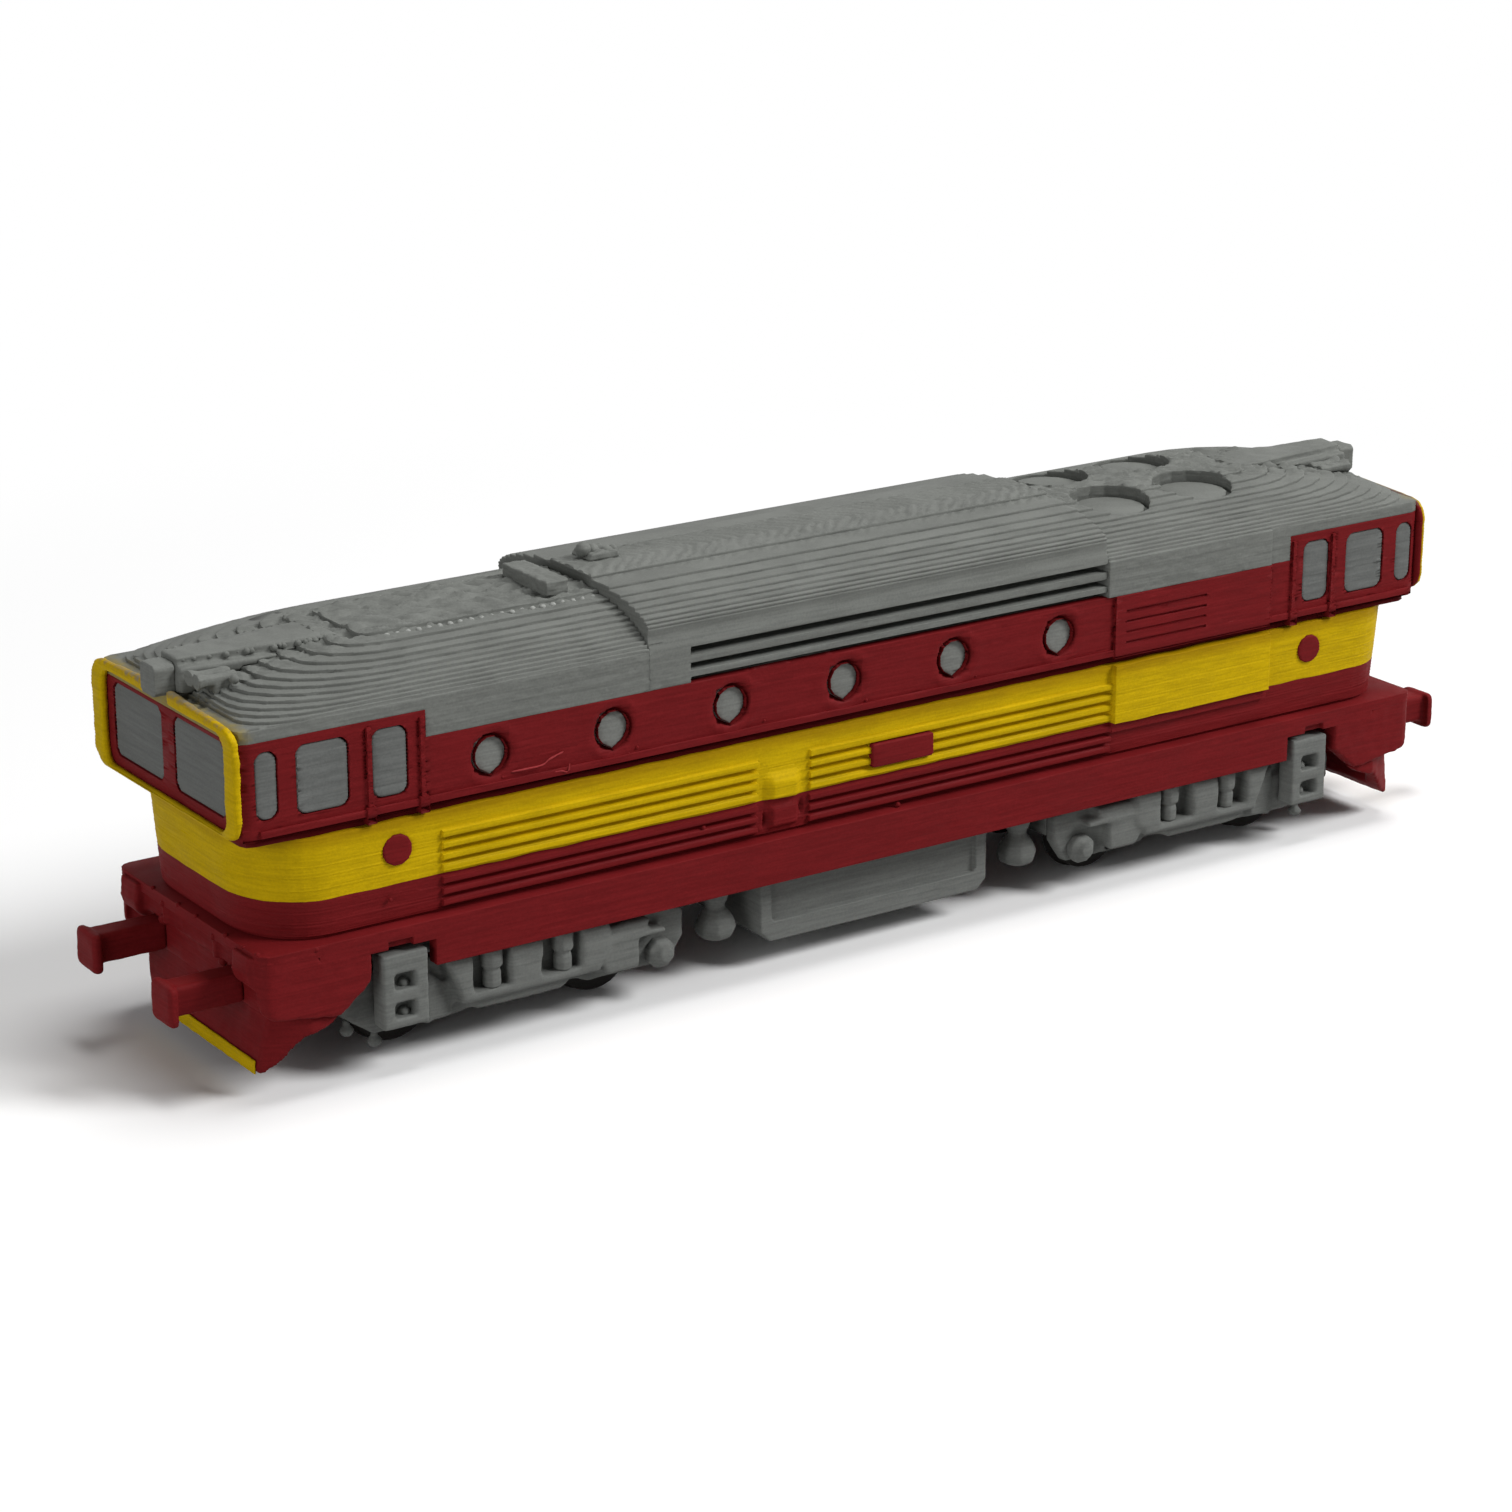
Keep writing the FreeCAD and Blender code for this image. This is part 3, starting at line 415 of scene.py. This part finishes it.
def finished(work, name, node, sharp=50):
    """The working mesh as a piece that stands for its CAD node."""
    bmesh.ops.triangulate(work, faces=[f for f in work.faces if len(f.verts) > 4])
    mesh = bpy.data.meshes.new(name)
    work.to_mesh(mesh)
    work.free()
    body = frame["nodes"][node]["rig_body"]
    piece = new_piece(name, mesh, body, SLOT_OF[node], OWN_PLASTIC.get(node))
    for face in mesh.polygons:
        face.use_smooth = True
    mesh.set_sharp_from_angle(angle=math.radians(sharp))
    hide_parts(node)


# ---- reliefs: each takes a vertex's place and normal and gives its move ---------------------
def displace(work, rules):
    """Moves every vertex by the sum of what the rules give for it."""
    work.normal_update()
    moves = [sum((rule(v.co, v.normal) for rule in rules), Vector()) for v in work.verts]
    for v, move in zip(work.verts, moves):
        v.co += move


def hill(distance, width):
    return math.exp(-(distance / width) ** 2)


def rise(value, low, high):
    """0 below low, 1 above high, and a smooth step between."""
    t = min(1.0, max(0.0, (value - low) / (high - low)))
    return t * t * (3 - 2 * t)


def plateau(value, low, high, soft):
    """1 between low and high, falling to 0 over the soft edge outside them."""
    return rise(value, low - soft, low) * (1 - rise(value, high, high + soft))


def sideways(place, push):
    """A move out of the near or the far side, by a push in full-size metres."""
    return Vector((0, push * M if place.y > 0 else -push * M, 0))


def layered(phase=0.0, ridge=0.000007):
    """Walls that go in and out layer by layer, a little differently along each layer."""
    drift, run, apart = 0.000013, 0.003, 7.31

    def rule(place, normal):
        level = (place.z - phase) / LAYER
        index = math.floor(level + 1e-4)
        crest = 0.5 - abs(level - index - 0.5)
        seed = Vector((place.x / run, place.y / run, index * apart))
        push = ridge * (4 * crest - 1) + drift * noise.noise(seed)
        return Vector((normal.x, normal.y, 0)) * push
    return rule


def lumpy(size, scale, seed=0.0):
    """Soft lumps, as tall as size and about as wide as scale."""
    shift = Vector((seed, seed * 1.7, seed * 2.3))

    def rule(place, normal):
        return normal * size * noise.noise(place / scale + shift)
    return rule


def on_flat(place, normal, half):
    """How far a vertex lies on a level face, and within half of the roof's middle."""
    return max(0.0, (normal.z - 0.9) / 0.1) * (1 - rise(abs(place.y), half, half + 0.2 * M))


def chevrons(half, height=0.00022):
    """The head's passes over the raised roof: folded along its middle, and broken up a little."""
    def rule(place, normal):
        top = on_flat(place, normal, half)
        if top == 0.0:
            return Vector()
        wander = noise.noise(place / 0.0009) * 0.5 * RASTER
        along = (place.x - abs(place.y) * 0.9 + wander) / RASTER
        wave = 2 * abs(along - math.floor(along) - 0.5)
        patch = 0.6 + 0.5 * noise.noise(place / 0.0012 + Vector((5, 0, 0)))
        return Vector((0, 0, top * height * patch * (wave - 0.5)))
    return rule


def dashes(half, height=0.0003):
    """The short strokes that the head left on the flat of the end roofs."""
    def rule(place, normal):
        top = on_flat(place, normal, half)
        if top == 0.0:
            return Vector()
        along, across = place.x - 0.5 * place.y, place.y + 0.5 * place.x
        stroke = noise.noise(Vector((along / 0.0009, across / 0.00028, 3.3)))
        return Vector((0, 0, top * height * stroke))
    return rule


def band_marks(place, normal):
    """The pressed line over the foot strip, and the groove, rim and blisters at each porthole."""
    if abs(normal.y) < 0.7 or place.z > 3.44 * M:
        return Vector()
    line, rim, groove, wall = 2.72, 0.30, 0.205, 0.232
    x, z = place.x / M, place.z / M
    push = -0.05 * hill(z - line, 0.02)
    nearest = min(PORTHOLE_X, key=lambda port: abs(port - x))
    radius = math.hypot(x - nearest, z - PORTHOLE_Z)
    push += 0.014 * hill(radius - rim, 0.035) - 0.10 * (1 - rise(radius, groove, wall))
    blisters = hill(math.hypot(x - nearest + 0.38, z - PORTHOLE_Z - 0.05), 0.15)
    push += 0.035 * blisters * max(0.0, noise.noise(place / 0.00022))
    return sideways(place, push)


def side_half(z):
    """Half width of the body below its windows, which widens from the sill up to them."""
    sill, at_sill = 1.57, 1.46
    return at_sill + 0.04 * (z - sill) / (WAIST_TOP - sill)


def ribbed(grooves, depth=0.045):
    """Deeper grooves between the ribs, dying away at their ends and at the pilaster."""
    def rule(place, normal):
        x, z = place.x / M, place.z / M
        if abs(normal.y) < 0.3:
            return Vector()
        along = plateau(x, -3.0, 5.40, 0.06) * (1 - plateau(x, 1.02, 1.68, 0.05))
        return sideways(place, -depth * along * sum(hill(z - groove, 0.022) for groove in grooves))
    return rule


def padded(box, soft, out, pits=()):
    """The soft pad on the pilaster between the ribs, in place of the CAD one, and its pits."""
    x0, x1, z0, z1 = box

    def rule(place, normal):
        x, z = place.x / M, place.z / M
        if not (x0 - 0.12 < x < x1 + 0.12 and z0 - 0.08 < z < z1 + 0.08):
            return Vector()
        if abs(place.y) < 1.3 * M:
            return Vector()
        face = side_half(z) + out * plateau(x, x0, x1, soft[0]) * (
            rise(z, z0 - soft[1], z0) * (1 - rise(z, z1 - soft[2], z1)))
        for px, pz, width, tall, deep in pits:
            face -= deep * hill((x - px) / width, 1.0) * hill((z - pz) / tall, 1.0)
        return sideways(place, face - abs(place.y) / M)
    return rule


def seam(level, size=0.012):
    """An uneven edge between two colours, the same in both nodes that meet there."""
    def rule(place, normal):
        wander = noise.noise(Vector((place.x / 0.0016, place.y / 0.0016, level)))
        return Vector((0, 0, size * M * wander * hill(place.z / M - level, 0.05)))
    return rule


def proud(push):
    """Panes that stand further out of their openings."""
    def rule(place, normal):
        if abs(normal.y) > abs(normal.x):
            return sideways(place, push if normal.y * place.y > 0 else 0.0)
        if normal.x * place.x > 0:
            return Vector((math.copysign(push * M, place.x), 0, 0))
        return Vector()
    return rule


def flush_end(place, normal):
    """The joint between the front and the middle roof, with no gap down the side."""
    near, top, side = 0.012, 3.86, 1.485
    if abs(place.x / M - ROOF_JOINT) > near or place.z > top * M or abs(place.y) < side * M:
        return Vector()
    return Vector((ROOF_JOINT * M - place.x, math.copysign(HALF_WIDTH * M, place.y) - place.y, 0))


def tucked(place, normal):
    """The top of the headstock, taken up inside the ledge and the sill, so that no step shows."""
    if place.z > 1.44 * M:
        return Vector((0, 0, 0.08 * M))
    return Vector((0, 0, 0.05 * M)) if place.z > 1.35 * M else Vector()


def short_corner(place, normal):
    """The plough's lower corner on the far side, which stops short of the other."""
    far_corner = place.y < -1.15 * M and place.z < 0.60 * M
    return Vector((0, 0.27 * M, 0)) if far_corner else Vector()


def taller(place, normal):
    """The plough's stripe, as high as its colour spread."""
    return Vector((0, 0, 0.04 * M)) if place.z > 0.3 * M else Vector()


def deepened(work, push):
    """The floors of the louvre slots, taken further in."""
    floors = []
    for face in work.faces:
        middle = face.calc_center_median()
        if (abs(face.normal.y) > 0.9 and middle.z < 3.84 * M
                and 1.3 * M < abs(middle.y) < 1.42 * M):
            floors.append(face)
    for v in {v for face in floors for v in face.verts}:
        v.co += sideways(v.co, -push)


def slimmer(place, normal):
    """The rear surround drawn in until it is flush with the roof and the window band."""
    down = Vector((0, 0, -0.04 * M)) if place.z > 3.6 * M else Vector()
    return down + (sideways(place, -0.04) if abs(place.y) > 1.2 * M else Vector())


def scooped(place, normal):
    """The hollow where the raised roof springs from its side."""
    if abs(place.y) < 1.40 * M:
        return Vector()
    return sideways(place, -0.04 * hill(place.z / M - 4.00, 0.10))


def rounder(work, offset):
    """The flats at the corners of the cab's side windows and panes, rounded off."""
    corners = []
    for edge in work.edges:
        along = edge.verts[0].co - edge.verts[1].co
        across = abs(along.y) > 0.9 * along.length and abs(along.y) > 0.01 * M
        if len(edge.link_faces) == 2 and across and abs(edge.verts[0].co.x) > 5 * M:
            if 0.4 < abs(edge.calc_face_angle(0.0)) < 1.2:
                corners.append(edge)
    bmesh.ops.bevel(work, geom=corners, offset=offset, segments=3, profile=0.5, affect="EDGES",
                    clamp_overlap=True)


def tapered_panes(work, gap):
    """Each pane drawn in from the edge of its opening by a gap, on every side."""
    loose = set(work.verts)
    while loose:
        island, grow = set(), [next(iter(loose))]
        while grow:
            v = grow.pop()
            if v not in island:
                island.add(v)
                grow += [e.other_vert(v) for e in v.link_edges]
        loose -= island
        for axis in (X, Y, Z):
            low, high = min(v.co[axis] for v in island), max(v.co[axis] for v in island)
            if high - low > 0.12 * M:
                middle, scale = (low + high) / 2, 1 - 2 * gap / (high - low)
                for v in island:
                    v.co[axis] = middle + (v.co[axis] - middle) * scale


# ---- how each node was printed ------------------------------------------------------------
FINE = 0.0004
ROOF_CELL = 0.00017
PAD_CUTS = [0.98 + 0.02 * k for k in range(38)]
PORT_CUTS = sorted(x + side * dx for x in PORTHOLE_X for side in (-1, 1)
                   for dx in (0.10, 0.205, 0.22, 0.235))


def printed(node, width=0.00006, cell=0.00035, rules=(), gap=0.0, cuts=()):
    """A crisp node: rounded edges and layered walls."""
    work = whole_faces(node)
    if gap:
        tapered_panes(work, gap * M)
    if node in ("window_band", "side_panes"):
        rounder(work, 0.035 * M)
    work = round_edges(work, width)
    for axis, step in ((Z, LAYER / 2), (X, cell), (Y, 0.0008)):
        slice_along(work, axis, step)
    for axis, places in cuts:
        cut_all(work, axis, [p * M for p in places])
    displace(work, rules)
    displace(work, [layered(ridge=0.00001)])
    join_flat(work, 0.3)
    finished(work, node + "_print", node)


def melted(node, voxel=0.00009, passes=3, size=0.00003, scale=0.0005, rules=()):
    """A small node whose details ran together in the print."""
    work = whole_faces(node)
    displace(work, rules)
    work = melt(work, voxel, passes)
    displace(work, [lumpy(size, scale, len(node)), layered()])
    finished(modified(work, "DECIMATE", ratio=0.5), node + "_print", node, sharp=70)


def roof(node, spring, top):
    """A stepped roof: crisp layers, and the head's passes where it is level."""
    work = round_edges(whole_faces(node), 0.00003)
    deepened(work, 0.2)
    slice_along(work, Z, LAYER / 2, spring * M)
    slice_along(work, X, ROOF_CELL)
    slice_along(work, Y, ROOF_CELL)
    displace(work, [flush_end, scooped] if node == "roof_middle" else [flush_end])
    displace(work, [layered(spring * M, ridge=0.000014), top])
    join_flat(work, 0.3)
    finished(work, node + "_print", node, sharp=40)


def groove_cuts(grooves):
    return [z + dz for z in grooves for dz in (-0.016, 0.0, 0.016)]


def both_ends(name, **values):
    """The same print for the node at the front and the one at the rear."""
    return {name + "_front": dict(values), name + "_rear": dict(values)}


PRINTED = {
    "window_band": {"cell": FINE, "rules": [band_marks, seam(WAIST_TOP)],
                    "cuts": [(X, PORT_CUTS), (Z, [2.70, 2.72, 2.74])]},
    "waist_band": {
        "cell": FINE, "cuts": [(X, PAD_CUTS), (Z, groove_cuts(WAIST_GROOVES))],
        "rules": [padded((1.24, 1.48, 2.00, 2.30), (0.14, 0.03, 0.14), 0.075),
                  ribbed(WAIST_GROOVES), seam(WAIST_TOP), seam(BODY_TOP)]},
    "lower_body": {
        "cell": FINE, "cuts": [(X, PAD_CUTS), (Z, groove_cuts(BODY_GROOVES))],
        "rules": [padded((1.20, 1.48, 1.69, 1.91), (0.05, 0.04, 0.04), 0.05,
                         [(1.60, 1.76, 0.05, 0.07, 0.08), (1.09, 1.83, 0.04, 0.07, 0.06)]),
                  ribbed(BODY_GROOVES), seam(BODY_TOP)]},
    "windscreen_surround_front": {"width": 0.00016, "rules": [lumpy(0.00004, 0.0005)]},
    "windscreen_surround_rear": {"width": 0.00012, "rules": [slimmer, lumpy(0.00003, 0.0005)]},
    "underframe": {"width": 0.00002},
    "side_panes": {"gap": 0.01, "rules": [proud(0.045)]},
    "portholes": {"gap": 0.004, "rules": [proud(0.015)]},
    **both_ends("windscreens", gap=0.01, rules=[proud(0.02)]),
}
MELTED = {
    "air_reservoirs": {},
    **both_ends("side_frames", voxel=0.00012),
    **both_ends("springs", voxel=0.00007),
    **both_ends("brake_ends", voxel=0.00007),
    **both_ends("steps", voxel=0.00008, passes=2, size=0.00002),
    **both_ends("headstock", voxel=0.00011, rules=[tucked]),
    **both_ends("plough", voxel=0.00011, passes=2),
    **both_ends("plough_stripe", voxel=0.00005, passes=2, rules=[taller]),
    **both_ends("horns", voxel=0.00005, size=0.00006, scale=0.0004),
    **both_ends("headlight", voxel=0.00006, passes=4),
    **both_ends("buffers", voxel=0.00008, size=0.00002),
    "roof_spine_front": {"voxel": 0.00008, "size": 0.00004, "scale": 0.0006},
    "roof_spine_rear": {"voxel": 0.00008, "size": 0.00006, "scale": 0.0008},
    "roof_cross_bar": {"voxel": 0.00006, "size": 0.00006, "scale": 0.0003},
    "roof_nub": {"voxel": 0.00005, "passes": 6, "size": 0.00009, "scale": 0.0005},
}
MELTED["plough_front"]["rules"] = [short_corner]
MELTED["plough_stripe_front"]["rules"] = [taller, short_corner]
ROOFS = {                            # springing of the curve, full size, and fill of the flat
    "roof_front": (3.85, dashes(0.55 * M)),
    "roof_middle": (4.075, chevrons(0.40 * M)),
    "roof_rear": (3.85, dashes(0.55 * M)),
}
for node in sorted(frame["nodes"]):
    if node in MELTED:
        melted(node, **MELTED[node])
    elif node in ROOFS:
        roof(node, *ROOFS[node])
    else:
        printed(node, **PRINTED.get(node, {}))


# ---- strings and specks of stray plastic ---------------------------------------------------
THREAD = 0.009                       # radius of a string, full size


def tube(work, points, radius):
    """A thread through the points, thinner at its ends."""
    sides = 8
    rings = []
    for k, point in enumerate(points):
        ahead = points[min(k + 1, len(points) - 1)] - points[max(k - 1, 0)]
        turn = ahead.to_track_quat("Z", "Y").to_matrix()
        size = radius * (0.5 if k in (0, len(points) - 1) else 1.0)
        ring = []
        for j in range(sides):
            angle = 2 * math.pi * j / sides
            spoke = Vector((math.cos(angle), math.sin(angle), 0))
            ring.append(work.verts.new(point + turn @ spoke * size))
        rings.append(ring)
    for ring, after in zip(rings, rings[1:]):
        for j in range(sides):
            work.faces.new((ring[j], ring[(j + 1) % sides], after[(j + 1) % sides], after[j]))
    work.faces.new(rings[0][::-1])
    work.faces.new(rings[-1])


def curved(corners):
    """Points on a smooth line through corners that are given in full-size metres."""
    steps = 6
    ends = [corners[0]] + list(corners) + [corners[-1]]
    out = []
    for a, b, c, d in zip(ends, ends[1:], ends[2:], ends[3:]):
        for k in range(steps):
            t = k / steps
            weights = (-t + 2 * t ** 2 - t ** 3, 2 - 5 * t ** 2 + 3 * t ** 3,
                       t + 4 * t ** 2 - 3 * t ** 3, -t ** 2 + t ** 3)
            pulls = (Vector(p) * w for p, w in zip((a, b, c, d), weights))
            out.append(sum(pulls, Vector()) * M / 2)
    return out + [Vector(corners[-1]) * M]


def stirred(place):
    """Three noises at a place. noise_vector is not used, because it is different in each run."""
    return Vector([noise.noise(place + Vector((shift,) * 3)) for shift in (0.31, 17.73, 43.37)])


STRINGS = [
    [(4.66, 1.51, 2.90), (4.50, 1.53, 2.905), (4.31, 1.54, 2.915), (4.22, 1.54, 2.96),
     (4.05, 1.52, 3.00)],
    [(4.19, 1.52, 2.81), (4.08, 1.53, 2.805), (4.01, 1.54, 2.79), (3.98, 1.53, 2.87)],
]
RED_SPECKS = [                       # x, y, z and radius of each, full size
    (4.75, 1.50, 2.86, 0.022), (3.16, 1.50, 2.875, 0.020), (3.27, 1.50, 2.83, 0.016),
    (2.36, 1.505, 1.85, 0.020), (-0.14, 1.49, 1.60, 0.030), (1.60, 1.50, 2.87, 0.018),
    (0.30, 1.50, 2.86, 0.018), (-1.15, 1.50, 2.86, 0.016), (6.05, 1.50, 1.84, 0.022),
    (7.50, 1.46, 1.56, 0.034), (7.52, 1.20, 1.565, 0.024), (7.52, 0.82, 1.57, 0.028),
    (7.52, 0.56, 1.47, 0.040), (7.52, 0.18, 1.57, 0.024), (7.52, -0.22, 1.565, 0.026),
    (7.52, -0.56, 1.47, 0.036), (7.52, -0.78, 1.57, 0.026), (6.93, 1.59, 1.54, 0.026),
    (7.46, 0.62, 1.22, 0.050), (7.47, -0.66, 1.26, 0.060), (7.50, -0.60, 1.30, 0.040),
]
TURNS = [                            # beads where the head turned, beside the front roof's flat
    (3.10 + 0.12 * k, side * 0.595, 4.222, 0.034) for side in (-1, 1) for k in range(21)
]
STEP_SPECKS = [(5.92, side * 1.46, z - 0.02, 0.065) for side in (-1, 1) for z in (0.635, 0.94)]
STEP_SPECKS_REAR = [(-x, y, z, size) for x, y, z, size in STEP_SPECKS]
GREY_SPECKS = [
    (2.72, -0.20, 4.49, 0.085), (2.60, -0.22, 4.45, 0.085), (2.46, -0.15, 4.42, 0.085),
    (2.36, -0.20, 4.43, 0.060), (7.22, 0.66, 4.10, 0.050),
]
for side in (-1, 1):
    for k in range(18):              # crumbs along the edges of the front spine
        stir = stirred(Vector((k * 1.7, side, 0))) * 0.10
        GREY_SPECKS.append((6.02 + 0.085 * k + stir.x, side * (0.32 - 0.009 * k) + stir.y * 0.6,
                            4.215, 0.030 + stir.z * 0.25))


def stray(name, slot_name, specks, threads=(), material=None, body="carbody"):
    """Specks and threads of stray plastic, as one piece on a body."""
    work = bmesh.new()
    for corners in threads:
        tube(work, curved(corners), THREAD * M)
    for x, y, z, size in specks:
        at = Matrix.Translation(Vector((x, y, z)) * M)
        bmesh.ops.create_icosphere(work, subdivisions=2, radius=size * M, matrix=at)
    mesh = bpy.data.meshes.new(name)
    displace(work, [lumpy(0.00003, 0.0002)])
    work.to_mesh(mesh)
    work.free()
    for face in mesh.polygons:
        face.use_smooth = True
    new_piece(name, mesh, body, slot_name, material)


stray("stray_specks", "red_plastic", RED_SPECKS)
stray("stray_threads", "red_plastic", [], STRINGS, plastic("thread_print", (146, 52, 54)))
stray("stray_crumbs", "roof_plastic", GREY_SPECKS)
# the beads are a lighter grey than the roof: painted highlight, for the shine on their tops
stray("roof_turns", "roof_plastic", TURNS, material=plastic("turn_highlight_print", (150, 152, 148)))
stray("step_crumbs_front", "running_gear_plastic", STEP_SPECKS, body="bogie_front")
stray("step_crumbs_rear", "running_gear_plastic", STEP_SPECKS_REAR, body="bogie_rear")


# ---- floor, lamps and background ----------------------------------------------------------
def add_floor():
    bpy.ops.mesh.primitive_plane_add(size=FLOOR_SIZE, location=(0, 0, 0))
    floor = bpy.context.object
    floor.name = "floor"
    material = bpy.data.materials.new("floor")
    material.use_nodes = True
    g = Graph(material)
    path = g.add("ShaderNodeLightPath")
    table = g.add("ShaderNodeBsdfDiffuse")
    table.inputs["Color"].default_value = TABLE
    white = g.add("ShaderNodeEmission")
    reach = g.add("ShaderNodeVectorMath", operation="LENGTH")
    g.put(reach.inputs[0], g.add("ShaderNodeTexCoord").outputs["Object"])
    seen = g.add("ShaderNodeMixShader")
    g.put(seen.inputs[0], g.ramp(reach.outputs["Value"], *FADE))
    g.put(seen.inputs[1], table.outputs[0])
    g.put(seen.inputs[2], white.outputs[0])
    bounce = g.add("ShaderNodeBsdfDiffuse")
    bounce.inputs["Color"].default_value = BOUNCE
    mix = g.add("ShaderNodeMixShader")
    g.put(mix.inputs[0], g.shown(path))
    g.put(mix.inputs[1], bounce.outputs[0])
    g.put(mix.inputs[2], seen.outputs[0])
    g.put(g.add("ShaderNodeOutputMaterial").inputs["Surface"], mix.outputs[0])
    floor.data.materials.append(material)


def add_world():
    world = bpy.data.worlds.new("studio")
    bpy.context.scene.world = world
    world.use_nodes = True
    g = Graph(world)
    path = g.add("ShaderNodeLightPath")
    mix = g.add("ShaderNodeMixShader")
    g.put(mix.inputs[0], g.shown(path))
    for socket, strength in ((1, SKY), (2, 1.0)):
        background = g.add("ShaderNodeBackground")
        background.inputs["Color"].default_value = WHITE
        background.inputs["Strength"].default_value = strength
        g.put(mix.inputs[socket], background.outputs[0])
    g.put(g.add("ShaderNodeOutputWorld").inputs["Surface"], mix.outputs[0])


add_camera()
add_floor()
add_world()
for name, lamp in LAMPS.items():
    add_lamp(name, *lamp)
bpy.context.scene.view_settings.view_transform = "Standard"
